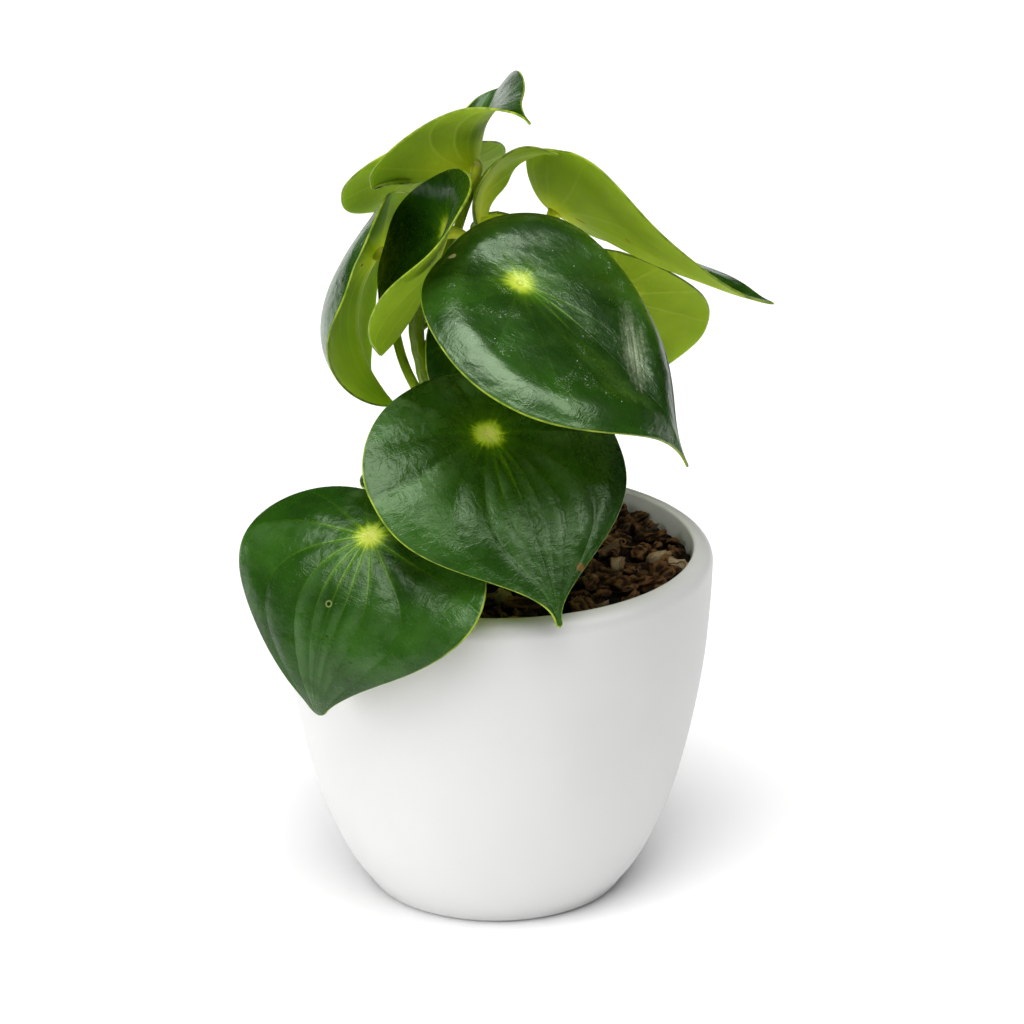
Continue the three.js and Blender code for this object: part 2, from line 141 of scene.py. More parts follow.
# joint is where the stalk meets the blade, which yaw, pitch and roll turn. length, half (left and right),
# stalk (the joint's share of the length), widest, taper, drip and nib (the tip's half-width) give its
# outline. droop and tuck bend it ahead of the joint and behind it, sway and twist turn it sideways and about
# its midrib, fold and cup bend its halves down, and open adds to fold with each millimetre. quilt and ring
# are the heights of its panels and its shoulder. The stalk leaves the stem at the height start, has the
# radius thick and goes by way of via and of a point that is approach under the joint.
SPECIES = dict(
    roll=0, stalk=0.28, droop=30, tuck=15, cup=(20, 20), fold=(0, 0), twist=0, sway=0, open=0,
    widest=0.42, taper=2.4, drip=1.8, thick=1.45, approach=5, via=(), quilt=0.5, ring=0.0, nib=1.2,
)

LEAVES = {
    "top": dict(
        joint=(-7, 17, 220), yaw=-89, pitch=54, roll=54, length=98.5, half=(30.5, 31.5),
        stalk=0.25, droop=61, tuck=-113, cup=(29, 36), fold=(-39, -61),
        twist=-57, sway=15, open=0.5, widest=0.31, taper=1.2, drip=1.85, nib=0.5,
        start=197, via=((-10, 9, 206),), approach=2, thick=1.35,
    ),
    "back_high": dict(
        joint=(-17.5, 49, 209), yaw=98, pitch=-31, roll=4, length=63, half=(30, 22.5),
        stalk=0.31, droop=7, tuck=-18, cup=(11, -6), fold=(9, -20),
        twist=-11, open=0.25, widest=0.41, taper=2.3, drip=1.6,
        start=189, via=((-15, 20, 194), (-16.5, 35, 198)),
    ),
    "left_dark": dict(
        joint=(-14.5, -10.5, 208), yaw=-114, pitch=-62, roll=56, length=58.5, half=(39.5, 40.5),
        stalk=0.3, droop=-32, tuck=-14, cup=(10, -2), fold=(-11, -17),
        twist=26, sway=8, open=-0.25, widest=0.43, taper=2.2, drip=0.45,
        start=194, via=((-11, -1, 201),),
    ),
    "left_far": dict(
        joint=(-35.5, 26.5, 190), yaw=191, pitch=-52, roll=49, length=70.5, half=(54, 45.5),
        droop=81, tuck=-18, cup=(50, 68), fold=(6, -68),
        twist=9, sway=33, open=0.05, widest=0.47, taper=2.2, drip=1.1,
        start=146, via=((-27, 10, 160), (-30, 15, 170.5), (-31, 21, 181)),
    ),
    "inner_curl": dict(
        joint=(-5, 3.5, 205.5), yaw=8, pitch=101, roll=-2, length=46.5, half=(20, 19.5),
        stalk=0.18, droop=118, tuck=7, cup=(43, 28), fold=(3, -17),
        twist=-36, sway=-7, open=-0.4, drip=1.6, taper=2.2,
        start=181, via=((-6, 7, 188), (0.5, 6, 197)), thick=1.3,
    ),
    "right_high": dict(
        joint=(18, 27.5, 202.5), yaw=-21, pitch=-27, roll=-37, length=89.5, half=(41.5, 42.5),
        stalk=0.21, droop=-18, tuck=-55, cup=(25, -13), fold=(-25, -8),
        twist=26, sway=2, open=0.05, widest=0.36, taper=2.5, drip=1.45,
        start=176, via=((-3, 15, 183), (10, 22, 190)),
    ),
    "right_low": dict(
        joint=(33, 37, 173), yaw=102, pitch=-52, roll=17, length=76.5, half=(36.5, 33),
        stalk=0.29, droop=27, tuck=-3, cup=(21, -4), fold=(5, -4),
        twist=-8, sway=9, open=-0.15, drip=1.5,
        start=167, via=((-4, 9, 174), (16, 20, 172)),
    ),
    "young": dict(
        joint=(1, 31, 198), yaw=85, pitch=-50, length=24, half=(9, 9),
        droop=20, drip=1.2, start=172, via=((-8, 18, 182), (-2, 26, 190)), thick=0.9, quilt=0.1,
    ),
    "front_high": dict(
        joint=(7, -37.5, 201), yaw=-21, pitch=-28, roll=24, length=99, half=(40.5, 44),
        stalk=0.25, droop=46, tuck=34, cup=(46, 45), fold=(-10, -26),
        twist=-29, sway=-8, open=-0.05, widest=0.44, taper=2.3, drip=2.2,
        start=184, via=((-9, -12, 188),), thick=1.7, quilt=0.15, ring=1.7, nib=0.7,
    ),
    "front_middle": dict(
        joint=(-2, -42, 157), yaw=-56, pitch=-36, roll=6, length=85, half=(39, 41.5),
        stalk=0.29, droop=32, tuck=18, cup=(23, 9), fold=(-8, 0),
        twist=3, sway=4, open=0.1, widest=0.38, taper=2.8, drip=2.25,
        start=122, via=((-8, -18, 136),), thick=1.7, quilt=1.7, nib=1.4,
    ),
    "front_low": dict(
        joint=(-36, -48, 128), yaw=-126, pitch=-26, roll=-10, length=79.5, half=(43, 40),
        stalk=0.24, droop=91, tuck=33, cup=(-20, 33), fold=(12, -8),
        twist=-2, sway=-3, open=0.15, widest=0.38, taper=2, drip=1.45,
        start=107, via=((-27, -24, 116),), thick=1.7, quilt=1.5, nib=2.6,
    ),
    "inner_hanging": dict(
        joint=(-11, -5.5, 174.5), yaw=-80, pitch=-70, length=40, half=(16, 10),
        droop=10, drip=1.5, start=160,
    ),
    "back_middle": dict(
        joint=(4, 22, 158), yaw=92, pitch=-66, length=43, half=(22, 21),
        droop=20, start=140, via=((-5, 14, 148),),
    ),
    "back_low": dict(
        joint=(9, 39, 124.5), yaw=72, pitch=-12, length=69, half=(28, 28),
        droop=50, cup=(30, 25), start=112, via=((-2, 18, 119),),
    ),
    "back_left": dict(
        joint=(-19, 26, 121), yaw=126, pitch=0, length=52, half=(19, 18),
        droop=45, cup=(25, 25), start=106,
    ),
}

# ---- looks
# Colours are as a screen shows them, 0 to 255.
# The band colour is painted sheen on the panels between the veins.
TOP = dict(
    deep=(22, 52, 6), fresh=(44, 86, 15), pale=(74, 118, 30), sheen_band=(96, 130, 80), vein=(104, 142, 22),
    beside_vein=(78, 124, 14), middle=(128, 150, 30), margin=(112, 142, 34), dust=(226, 232, 220),
    shadow=(2, 24, 2),
)
TOP_TINT = (0.78, 1.0, 0.7, 1.0)  # of its reflections
# The spot over a stalk, from outside: colour, what glow adds, radii where it starts and is full, share. What
# glow adds is painted light, a spot brighter than its own colour.
SPOT = (
    ((82, 126, 8), (0, 0, 0), 11.0, 2.0, 0.6),
    ((146, 178, 20), (40, 40, 0), 6.0, 2.2, 1.0),
    ((208, 222, 78), (34, 24, 40), 4.8, 0.4, 1.0),
)
# The spot colour, the patch round the stalk, is partly the paler base and partly painted light shining
# through the blade.
UNDER = dict(
    base=(136, 164, 34), light=(160, 184, 50), cloud=(166, 192, 46), vein=(196, 212, 84),
    streak=(96, 124, 16), spot=(224, 234, 60), margin=(150, 174, 56),
)
EDGE_DARK, EDGE_LIGHT = (92, 120, 18), (150, 170, 40)
FRECKLE = (186, 196, 110)
# Stem and stalk: dark, light, and the colour where it meets its blade. On the stalks that last colour is
# partly their own paler end and partly painted light where blades shade them.
STEM_GREEN = ((84, 110, 6), (128, 154, 22), (136, 164, 24))
STALK_GREEN = ((112, 140, 12), (156, 180, 36), (222, 234, 64))
GLAZE = dict(dark=(211, 211, 210), light=(215, 215, 214), pinhole=(196, 194, 188))
BARK = dict(
    dark=(6, 3, 1), brown=(42, 20, 6), red=(98, 52, 20), tan=(132, 86, 40), pale=(226, 204, 164),
    # The worn colour is partly dry wear and partly a painted highlight on the chips' edges.
    wear_and_highlight=(160, 118, 70), crumb=(170, 144, 100), sunk_shade=(5, 3, 1),
# The sunk colour is painted shade, low down between the chips.
)
FLOOR_DARK, FLOOR_LIGHT = (253, 253, 253), (254, 254, 254)

# Kinds of flaw: colour, and how many times longer than wide. The last kind is no flaw but painted reflection:
# a pale streak of painted sheen, with fibres in it.
FLAWS_AND_SHEEN = {
    # partly painted light: a pale scar, painted brighter than its own tan because the blade lies in shade
    # there
    "scar_painted_bright": ((255, 236, 184), 1.0),
    "hole": ((14, 26, 6), 1.0),
    "spot": ((38, 36, 14), 1.0),
    "bite": ((124, 88, 44), 1.0),
    "scratch": ((150, 74, 24), 5.0),
    "painted_sheen_streak": ((170, 182, 150), 3.2),
}
HOLE_RING = (150, 168, 92)
# A leaf's flaws and its painted sheen streak: kind, millimetres to the left of its stalk, millimetres towards
# its tip, size, angle.
TOP_LOOKS = {
    "front_high": dict(
        dust=0.8, wrinkles=1.1, gloss=0.85, rough=0.22, sheen_bands=0.06,
        # the second mark is painted reflection: a pale fibrous streak of painted sheen
        flaws_and_sheen=(("scar_painted_bright", -2.7, -20.6, 1.5, 30), ("painted_sheen_streak", 9.2, 37.5, 6.0, 142)),
    ),
    "front_middle": dict(
        dim=0.12, glow=1.3, gloss=0.5, wrinkles=1.4, sheen_bands=0.42, flaws_and_sheen=(("bite", 10.6, 45.4, 1.5, 0),),
    ),
    "front_low": dict(
        dim=0.14, glow=0.8, gloss=0.4, wrinkles=1.3, veins=5.5, sheen_bands=0.2,
        flaws_and_sheen=(("hole", -0.7, 23.5, 0.5, 0), ("spot", 1.7, 32.4, 0.45, 0), ("spot", 10.4, 37.7, 0.45, 0)),
    ),
    "left_dark": dict(dim=0.5, gloss=0.09, wrinkles=0.15, dust=0.0, sheen_bands=0.0),
    "inner_hanging": dict(dim=0.5, gloss=0.22),
}
UNDER_LOOKS = {
    "top": dict(glow=1.5),
    "left_far": dict(flaws_and_sheen=(("spot", 4.5, 5.1, 0.6, 0),)),
    "right_high": dict(flaws_and_sheen=(("scratch", -6.2, 9.1, 0.5, 100), ("scratch", -13.2, 25.3, 0.3, 60))),
    "inner_curl": dict(glow=1.6),
}

# Suns: azimuth (0 in front, 90 on the right), elevation and width in degrees, power, and if they show in
# reflections and on matt surfaces.
LIGHTS = {
    "overhead_softbox": (-2, 73, 50, 3.2, True, True),
    "right_softbox": (70, 46, 30, 0.9, True, False),
    "left_fill": (-62, 5, 60, 2.5, False, True),
    "room": (0, 90, 178, 0.75, False, True),
}


# ---- node graphs
COLOUR_A, COLOUR_B, COLOUR_RESULT = 6, 7, 2  # a Mix node's sockets for colours


def colour(screen):
    """A screen colour of 0 to 255 as the linear colour that a shader takes."""
    linear = []
    for channel in screen:
        share = channel / 255
        linear.append(share / 12.92 if share <= 0.04045 else ((share + 0.055) / 1.055) ** 2.4)
    return (*linear, 1.0)


class Graph:
    """A material and short names for the nodes that it is made of."""

    def __init__(self, name):
        self.material = bpy.data.materials.new(name)
        self.material.use_nodes = True
        self.tree = self.material.node_tree
        self.surface = self.tree.nodes["Principled BSDF"]

    def node(self, kind, inputs=None, **settings):
        made = self.tree.nodes.new(kind)
        for key, value in settings.items():
            setattr(made, key, value)
        for key, value in (inputs or {}).items():
            self.feed(made.inputs[key], value)
        return made

    def feed(self, socket, value):
        if isinstance(value, bpy.types.NodeSocket):
            self.tree.links.new(value, socket)
        else:
            socket.default_value = value

    def set(self, **values):
        """Sets the surface shader's sockets, whose names are given with _ for a space."""
        for key, value in values.items():
            self.feed(self.surface.inputs[key.replace("_", " ")], value)

    def fleshy(self, weight):
        """Lets light through the flesh: more green and red than blue."""
        self.set(Subsurface_Weight=weight, Subsurface_Radius=(1.0, 1.2, 0.35), Subsurface_Scale=2.5 * MM)

    def attribute(self, name):
        return self.node("ShaderNodeAttribute", attribute_name=name).outputs["Vector"]

    def parts(self, vector):
        made = self.node("ShaderNodeSeparateXYZ", {"Vector": vector})
        return made.outputs["X"], made.outputs["Y"], made.outputs["Z"]

    def joined(self, x, y, z=0.0):
        return self.node("ShaderNodeCombineXYZ", {"X": x, "Y": y, "Z": z}).outputs["Vector"]

    def math(self, operation, a, b=0.0, clamp=False):
        return self.node("ShaderNodeMath", {0: a, 1: b}, operation=operation, use_clamp=clamp).outputs[0]

    def times(self, a, b, clamp=False):
        return self.math("MULTIPLY", a, b, clamp)

    def plus(self, a, b):
        return self.math("ADD", a, b)

    def minus(self, a, b):
        return self.math("SUBTRACT", a, b)

    def hypot(self, a, b):
        return self.math("SQRT", self.plus(self.times(a, a), self.times(b, b)))

    def step(self, value, low, high, out_low=0.0, out_high=1.0):
        """A smooth step of value from low to high."""
        inputs = {"Value": value, "From Min": low, "From Max": high, "To Min": out_low, "To Max": out_high}
        return self.node("ShaderNodeMapRange", inputs, interpolation_type="SMOOTHSTEP").outputs["Result"]

    def mix(self, factor, a, b):
        """A blend of two colours, each a socket or a screen colour."""
        made = self.node("ShaderNodeMix", {"Factor": factor}, data_type="RGBA")
        for place, value in ((COLOUR_A, a), (COLOUR_B, b)):
            self.feed(made.inputs[place], colour(value) if isinstance(value, tuple) else value)
        return made.outputs[COLOUR_RESULT]

    def paint(self, body, shade, mask, most=1.0):
        """Lays a shade over a colour where the mask is 1, at most to a share."""
        return self.mix(mask if most == 1.0 else self.times(mask, most), body, shade)

    def layers(self, body, palette, *rows):
        """Lays shades over a colour, each by its name in the palette, its mask and its greatest share."""
        for name, mask, most in rows:
            body = self.paint(body, palette[name], mask, most)
        return body

    def vectors(self, operation, a, b):
        return self.node("ShaderNodeVectorMath", {0: a, 1: b}, operation=operation).outputs[0]

    def scaled(self, vector, scale):
        return self.vectors("MULTIPLY", vector, scale)

    def noise(self, vector, scale, detail=3.0, roughness=0.55, distortion=0.0):
        """Smooth noise around 0.5, with a scale in patches per unit of the vector."""
        inputs = dict(Vector=vector, Scale=scale, Detail=detail, Roughness=roughness, Distortion=distortion)
        return self.node("ShaderNodeTexNoise", inputs).outputs["Fac"]

    def ridges(self, *noise):
        """Winding lines in a noise, 0 along each of them."""
        return self.math("ABSOLUTE", self.minus(self.noise(*noise), 0.5))

    def cells(self, vector, scale):
        """The distance to the nearest of many scattered points."""
        return self.node("ShaderNodeTexVoronoi", {"Vector": vector, "Scale": scale}).outputs["Distance"]

    def bump(self, height, depth, normal=None):
        """The surface's normals over a height of 0 to 1 that stands for a depth in millimetres."""
        inputs = {"Height": height, "Distance": depth * MM}
        if normal:
            inputs["Normal"] = normal
        return self.node("ShaderNodeBump", inputs).outputs["Normal"]


# ---- leaf materials
class LeafGraph(Graph):
    """A blade's material, with what the blade's mesh stores at each point."""

    def __init__(self, name):
        super().__init__(name)
        self.flat = self.attribute("flat")
        self.across, self.along, self.edge = self.parts(self.flat)
        self.vein_vector = self.attribute("vein")
        self.vein, spacing, self.side = self.parts(self.vein_vector)
        self.place = self.attribute("flat_place")
        self.radius = self.hypot(self.across, self.along)
        # millimetres to the nearest vein
        self.line = self.times(self.math("PINGPONG", self.vein, 0.5), spacing)


def top_material(
    name, dim=0.0, dust=0.12, wrinkles=1.0, gloss=0.55, rough=0.2, glow=0.0, veins=1.9, sheen_bands=0.15, flaws_and_sheen=(),
):
    """The glossy upper side: deep green, quilted between its veins, with painted sheen and shade on its
    panels and a glowing spot over the stalk.
    """
    g = LeafGraph(name)
    medium = g.noise(g.place, 0.16, 4.0, 0.6)
    body = g.mix(g.step(g.noise(g.place, 0.035), 0.3, 0.72), TOP["deep"], TOP["fresh"])
    body = g.paint(body, TOP["pale"], g.step(medium, 0.45, 0.75), 0.14)
    body = panelled(g, body, sheen_bands)
    vivid = g.step(g.vein, veins, veins - 1.8)
    body = veined(g, body, vivid)
    body = spotted(g, body, glow)
    body = g.paint(body, TOP["margin"], g.step(g.edge, 0.55, 0.2), 0.6)
    body = flawed_and_sheened(g, body, flaws_and_sheen)
    dusty = g.times(dust_on(g), dust)
    body = g.mix(dusty, body, TOP["dust"])
    coarse = g.plus(g.times(medium, 0.14), rough)
    g.set(Base_Color=g.mix(dim, body, TOP["shadow"]), Roughness=g.plus(coarse, g.times(dusty, 0.3)))
    g.set(Normal=top_normal(g, wrinkles, vivid), Specular_IOR_Level=gloss, Specular_Tint=TOP_TINT)
    return g.material


def panelled(g, body, sheen_bands):
    """Paints light and shade on each panel between two veins: a random darker tone as painted shade, and a
    paler band along one side as painted sheen.
    """
    panel = g.plus(g.math("FLOOR", g.vein), g.times(g.side, 20.0))
    # painted shade: each panel darker by a random share, standing in for the shade on tilted panels
    shade = g.node("ShaderNodeTexWhiteNoise", {"W": panel}, noise_dimensions="1D").outputs["Value"]
    share = g.math("FRACT", g.vein)
    # painted sheen: a paler band along one side of each panel
    sheen_band = g.times(g.step(share, 0.05, 0.85), g.step(share, 1.0, 0.93))
    sheen_band = g.times(sheen_band, g.times(g.step(shade, 0.9, 0.2), g.step(g.radius, 6.0, 20.0)))
    sheen_band = g.times(sheen_band, g.step(g.noise(g.place, 0.13), 0.3, 0.62))
    return g.layers(body, TOP, ("deep", shade, 0.5), ("sheen_band", sheen_band, sheen_bands))


def veined(g, body, vivid):
    """Draws the veins, vivid beside the spot and fading on their way out."""
    near = g.step(g.radius, 34.0, 4.0)
    fading = g.step(g.noise(g.place, 0.12), 0.3, 0.62)
    width = g.plus(g.times(near, 0.45), 0.2)
    vein = g.step(g.math("DIVIDE", g.line, width), 1.3, 0.0)
    strength = g.times(g.times(near, vivid), g.plus(fading, 0.25))
    strength = g.times(vein, g.plus(g.times(strength, 0.45), 0.04), clamp=True)
    soft = g.times(g.step(g.line, 1.6, 0.0), g.step(g.radius, 22.0, 5.0))
    soft = g.times(soft, g.plus(g.times(vivid, 0.5), 0.05))
    return g.layers(body, TOP, ("vein", strength, 1.0), ("beside_vein", soft, 1.0))


def spotted(g, body, glow):
    """Paints the spot over the stalk, with short rays and a darker middle. Glow makes it brighter as painted
    light.
    """
    heading = g.vectors("NORMALIZE", g.scaled(g.flat, (1.0, 1.0, 0.0)), (0.0, 0.0, 0.0))
    rays = g.noise(g.vectors("ADD", heading, g.scaled(g.place, (0.0, 0.0, 1.0))), 4.5, 4.0, 0.75)
    ragged = g.plus(g.radius, g.times(g.minus(g.noise(g.place, 0.8, 3.0, 0.6), 0.5), 1.6))
    ragged = g.times(ragged, g.plus(g.times(rays, 1.5), 0.25))
    # painted light: glow lifts the spot past its own colour, for blades whose spot lies in shade
    for shade, gain, start, full, most in SPOT:
        lit = tuple(channel + glow * more for channel, more in zip(shade, gain))
        body = g.paint(body, lit, g.step(ragged, start, full), most)
    ring = g.times(g.step(g.radius, 0.3, 0.8), g.step(g.radius, 1.5, 0.9))
    return g.paint(body, TOP["middle"], ring, max(0.0, 0.45 - 0.4 * glow))


def top_normal(g, wrinkles, vivid):
    """Soft dents, curved wrinkles, a fine leathery skin and the veins' grooves."""
    wrinkle = g.noise(g.scaled(g.place, (1.0, 0.6, 1.0)), 0.42, 3.0, 0.5, 1.0)
    flow = g.noise(g.scaled(g.place, (0.4, 1.4, 1.0)), 0.7, 3.0, 0.55, 1.3)
    fold = g.step(g.ridges(g.place, 0.17, 2.0, 0.5, 1.2), 0.03, 0.0)
    fold = g.times(fold, g.step(g.noise(g.place, 0.1, 2.0), 0.5, 0.6))
    skin = g.noise(g.place, 1.7, 3.0, 0.55, 0.3)
    normal = g.bump(g.noise(g.place, 0.1, 2.0), 0.8)
    for height, depth in ((wrinkle, 0.13), (flow, 0.07), (fold, 0.03), (skin, 0.035)):
        normal = g.bump(height, depth * wrinkles, normal)
    return g.bump(g.times(g.step(g.line, 0.5, 0.0, 0.0, -1.0), vivid), 0.05, normal)


def dust_on(g):
    """Tiny pale specks, and short curled hairs of dust."""
    specks = g.step(g.cells(g.place, 0.24), 0.05, 0.03)
    specks = g.times(specks, g.step(g.noise(g.place, 0.09, 2.0), 0.4, 0.6))
    hairs = g.step(g.ridges(g.place, 0.3, 1.0, 0.5, 2.2), 0.006, 0.002)
    hairs = g.times(hairs, g.step(g.noise(g.place, 0.14, 1.0), 0.63, 0.66))
    return g.math("MAXIMUM", specks, g.times(hairs, 0.7))


def flaw_or_sheen_mask(g, kind, x, y, size, angle):
    """1 inside a flaw or inside the painted sheen streak, and the distance from its middle, which lies x and
    y millimetres from the stalk.
    """
    dx, dy = g.minus(g.across, x), g.minus(g.along, y)
    cosine, sine = np.cos(np.radians(angle)), np.sin(np.radians(angle))
    long = g.math("DIVIDE", g.plus(g.times(dx, cosine), g.times(dy, sine)), FLAWS_AND_SHEEN[kind][1])
    short = g.minus(g.times(dy, cosine), g.times(dx, sine))
    far = g.hypot(long, short)
    ragged = g.plus(far, g.times(g.minus(g.noise(g.place, 0.9), 0.5), size))
    if kind != "painted_sheen_streak":
        return g.step(ragged, size, 0.6 * size), far
    # painted reflection: the sheen streak, pale fibres of painted sheen
    strands = g.noise(g.joined(g.times(long, 0.16), short), 0.9, 4.0, 0.65)
    return g.times(g.step(ragged, size, 0.0), g.step(strands, 0.28, 0.7)), far


def flawed_and_sheened(g, body, flaws_and_sheen):
    """The blade's colour with its scars, holes, spots and scratches, and a painted reflection: the pale
    fibrous sheen streak.
    """
    for kind, x, y, size, angle in flaws_and_sheen:
        mask, far = flaw_or_sheen_mask(g, kind, x, y, size, angle)
        body = g.paint(body, FLAWS_AND_SHEEN[kind][0], mask, 0.9)
        if kind == "hole":
            ring = g.times(g.step(far, 1.1 * size, 1.5 * size), g.step(far, 2.4 * size, 1.6 * size))
            body = g.paint(body, HOLE_RING, ring, 0.55)
    return body


def under_material(name, glow=1.0, flaws_and_sheen=()):
    """The matt underside: light yellow-green with faint veins that fan out from the stalk, and a bright
    yellow patch round the stalk that is partly painted light through the blade, wider with more glow.
    """
    g = LeafGraph(name)
    medium = g.noise(g.place, 0.2, 4.0, 0.6)
    vein = g.times(g.step(g.line, 0.9, 0.1), g.plus(g.times(g.step(g.radius, 45.0, 4.0), 0.2), 0.07))
    streak = g.noise(g.scaled(g.vein_vector, (5.0, 0.0, 3.0)), 2.0, 3.0, 0.6)
    # partly painted light: a yellow patch round the stalk, its paler base made as wide as glow says, for
    # light through the blade
    spot = g.step(g.plus(g.radius, g.times(medium, 5.0)), 17.0 * glow, 3.5)
    body = g.mix(g.step(g.noise(g.place, 0.03), 0.3, 0.7), UNDER["base"], UNDER["light"])
    body = g.layers(
        body, UNDER,
        ("cloud", g.step(medium, 0.4, 0.75), 0.22),
        ("vein", vein, 1.0),
        ("streak", g.step(streak, 0.5, 0.8), 0.14),
        ("spot", spot, 0.85),
        ("margin", g.step(g.edge, 0.8, 0.2), 0.5),
    )
    normal = g.bump(g.step(g.line, 0.9, 0.0), 0.07, g.bump(medium, 0.3))
    normal = g.bump(g.noise(g.place, 1.3, 3.0, 0.6), 0.05, normal)
    g.set(Base_Color=flawed_and_sheened(g, body, flaws_and_sheen), Roughness=g.step(medium, 0.2, 0.8, 0.45, 0.6), Normal=normal)
    g.set(Specular_IOR_Level=0.02)
    g.fleshy(0.8)
    return g.material


def edge_material():
    """The rounded edge of a blade, a thin yellow-green line."""
    g = Graph("blade_edge")
    place = g.attribute("flat_place")
    tone = g.step(g.noise(place, 0.25), 0.3, 0.7)
    g.set(Base_Color=g.mix(tone, EDGE_DARK, EDGE_LIGHT), Roughness=g.step(tone, 0.0, 1.0, 0.35, 0.5))
    g.set(Normal=g.bump(g.noise(place, 1.2), 0.05), Specular_IOR_Level=0.3)
    return g.material


def stalk_material(name, dark, light, at_blade):
    """A juicy round stalk with fine lengthwise streaks, paler where it meets its blade, partly its own colour
    and partly painted light.
    """
    g = Graph(name)
    vector = g.attribute("tube")
    to_blade = g.parts(vector)[2]
    streak = g.noise(g.scaled(vector, (1.6, 0.06, 0.0)), 1.6, 4.0, 0.6)
    blotch = g.noise(g.scaled(vector, (0.5, 0.12, 0.0)), 1.0, 2.0)
    freckle = g.step(g.cells(g.scaled(vector, (0.9, 0.35, 0.0)), 1.0), 0.16, 0.08)
    body = g.mix(g.step(streak, 0.3, 0.72), dark, light)
    body = g.paint(body, light, g.step(blotch, 0.4, 0.7), 0.35)
    # partly painted light: the end at the blade, paler than the stalk's own colour
    body = g.paint(body, at_blade, g.step(to_blade, 11.0, 2.0, 0.0, 0.95))
    body = g.paint(body, FRECKLE, freckle, 0.3)
    g.set(Base_Color=body, Roughness=g.step(blotch, 0.2, 0.8, 0.26, 0.42), Normal=g.bump(streak, 0.12))
    g.set(Specular_IOR_Level=0.3, Coat_Weight=0.1, Coat_Roughness=0.2)
    g.fleshy(0.6)
    return g.material


# ---- meshes
def new_piece(name, points, faces, materials, face_materials=None, smooth=True):
    """A mesh object from points in millimetres."""
    mesh = bpy.data.meshes.new(name)
    mesh.from_pydata((np.asarray(points, float) * MM).tolist(), [], faces)
    for material in materials:
        mesh.materials.append(material)
    if face_materials is not None:
        mesh.polygons.foreach_set("material_index", np.asarray(face_materials, np.int32))
    mesh.polygons.foreach_set("use_smooth", np.full(len(mesh.polygons), smooth))
    mesh.update()
    piece = bpy.data.objects.new(name, mesh)
    bpy.context.scene.collection.objects.link(piece)
    return piece


def store(piece, name, vectors):
    """Stores a vector at each point of the mesh under a name that its material reads."""
    layer = piece.data.attributes.new(name, "FLOAT_VECTOR", "POINT")
    layer.data.foreach_set("vector", np.asarray(vectors, np.float32).ravel())


def turn(a, b, angle):
    """Turns two perpendicular unit vectors by an angle, from the first towards the second."""
    c, s = np.cos(angle), np.sin(angle)
    return a * c + b * s, b * c - a * s


def unit(vectors):
    lengths = np.linalg.norm(vectors, axis=-1, keepdims=True)
    return vectors / np.maximum(lengths, 1e-9)


def ramp(value, low, high):
    """0 up to low, 1 from high on, and straight in between."""
    return np.clip((value - low) / (high - low), 0, 1)


def ring_faces(rings, sides):
    """The quads between each closed ring of points and the next."""
    faces = []
    for k in range(rings - 1):
        for m in range(sides):
            n = (m + 1) % sides
            faces.append((k * sides + m, k * sides + n, (k + 1) * sides + n, (k + 1) * sides + m))
    return faces


def closed_faces(points, sides, ends):
    """The faces of rings of points as a closed tube, after adding the middle points of its two ends."""
    rings = len(points) // sides
    faces = ring_faces(rings, sides)
    for ring, end in ((0, ends[0]), (rings - 1, ends[1])):
        points.append(end)
        for m in range(sides):
            corners = (ring * sides + m, ring * sides + (m + 1) % sides, len(points) - 1)
            faces.append(corners if ring else corners[::-1])
    return faces


# ---- blades
def outline(u, leaf):
    """Half-width at u along the midrib (0 base, 1 tip), as a share of the widest."""
    widest = leaf["widest"]
    back = np.clip((widest - u) / widest, 0, 1)
    t = np.clip((u - widest) / (1 - widest), 0, 1)
    return np.where(u < widest, np.sqrt(1 - back**2), (1 - t ** leaf["taper"]) ** leaf["drip"])


def joint_frame(leaf):
    """The blade's axes at the joint: along the midrib, to its left, and out of its upper face."""
    yaw, pitch = np.radians(leaf["yaw"]), np.radians(leaf["pitch"])
    along = np.array([np.cos(pitch) * np.cos(yaw), np.cos(pitch) * np.sin(yaw), np.sin(pitch)])
    side = np.array([-np.sin(yaw), np.cos(yaw), 0.0])
    left, up = turn(side, np.cross(along, side), np.radians(leaf["roll"]))
    return along, left, up


def midrib(leaf, distances):
    """The midrib's point and axes at each distance from the joint, marched from it in short steps."""
    stations = {}
    to_base = leaf["stalk"] * leaf["length"]
    to_tip = leaf["length"] - to_base
    spin = leaf["twist"] / leaf["length"]
    ahead = (leaf["droop"] / to_tip, leaf["sway"] / to_tip, spin)
    behind = (leaf["tuck"] / to_base, 0, spin)
    forwards, backwards = distances[distances >= 0], distances[distances < 0][::-1]
    for rates, order in ((ahead, forwards), (behind, backwards)):
        along, left, up = joint_frame(leaf)
        point = np.array(leaf["joint"], float)
        at = 0.0
        for distance in order:
            count = max(1, int(abs(distance - at) / MARCH_STEP) + 1)
            step = (distance - at) / count
            bend, sway, twist = np.radians(rates) * step
            for _ in range(count):
                point = point + along * step / 2
                along, up = turn(along, up, -bend)
                along, left = turn(along, left, -sway)
                left, up = turn(left, up, twist)
                point = point + along * step / 2
                at += step
            stations[distance] = (point, left, up)
    return [stations[distance] for distance in distances]


def half_section(leaf, side, distance, offsets):
    """How far out and down a half of the blade is at each offset from the midrib."""
    slope = np.radians(leaf["fold"][side] + leaf["open"] * distance)
    count = SECTION_CELLS * (len(offsets) - 1) + 1
    edges = np.interp(np.arange(count) / SECTION_CELLS, np.arange(len(offsets)), offsets)
    middles, steps = (edges[1:] + edges[:-1]) / 2, np.diff(edges)
    cup = np.radians(leaf["cup"][side]) * middles / leaf["half"][side]
    angle = slope * (1 - np.exp(-middles / CREASE)) + cup
    out = np.concatenate([[0], np.cumsum(steps * np.cos(angle))])[::SECTION_CELLS]
    down = np.concatenate([[0], np.cumsum(steps * np.sin(angle))])[::SECTION_CELLS]
    return out, down


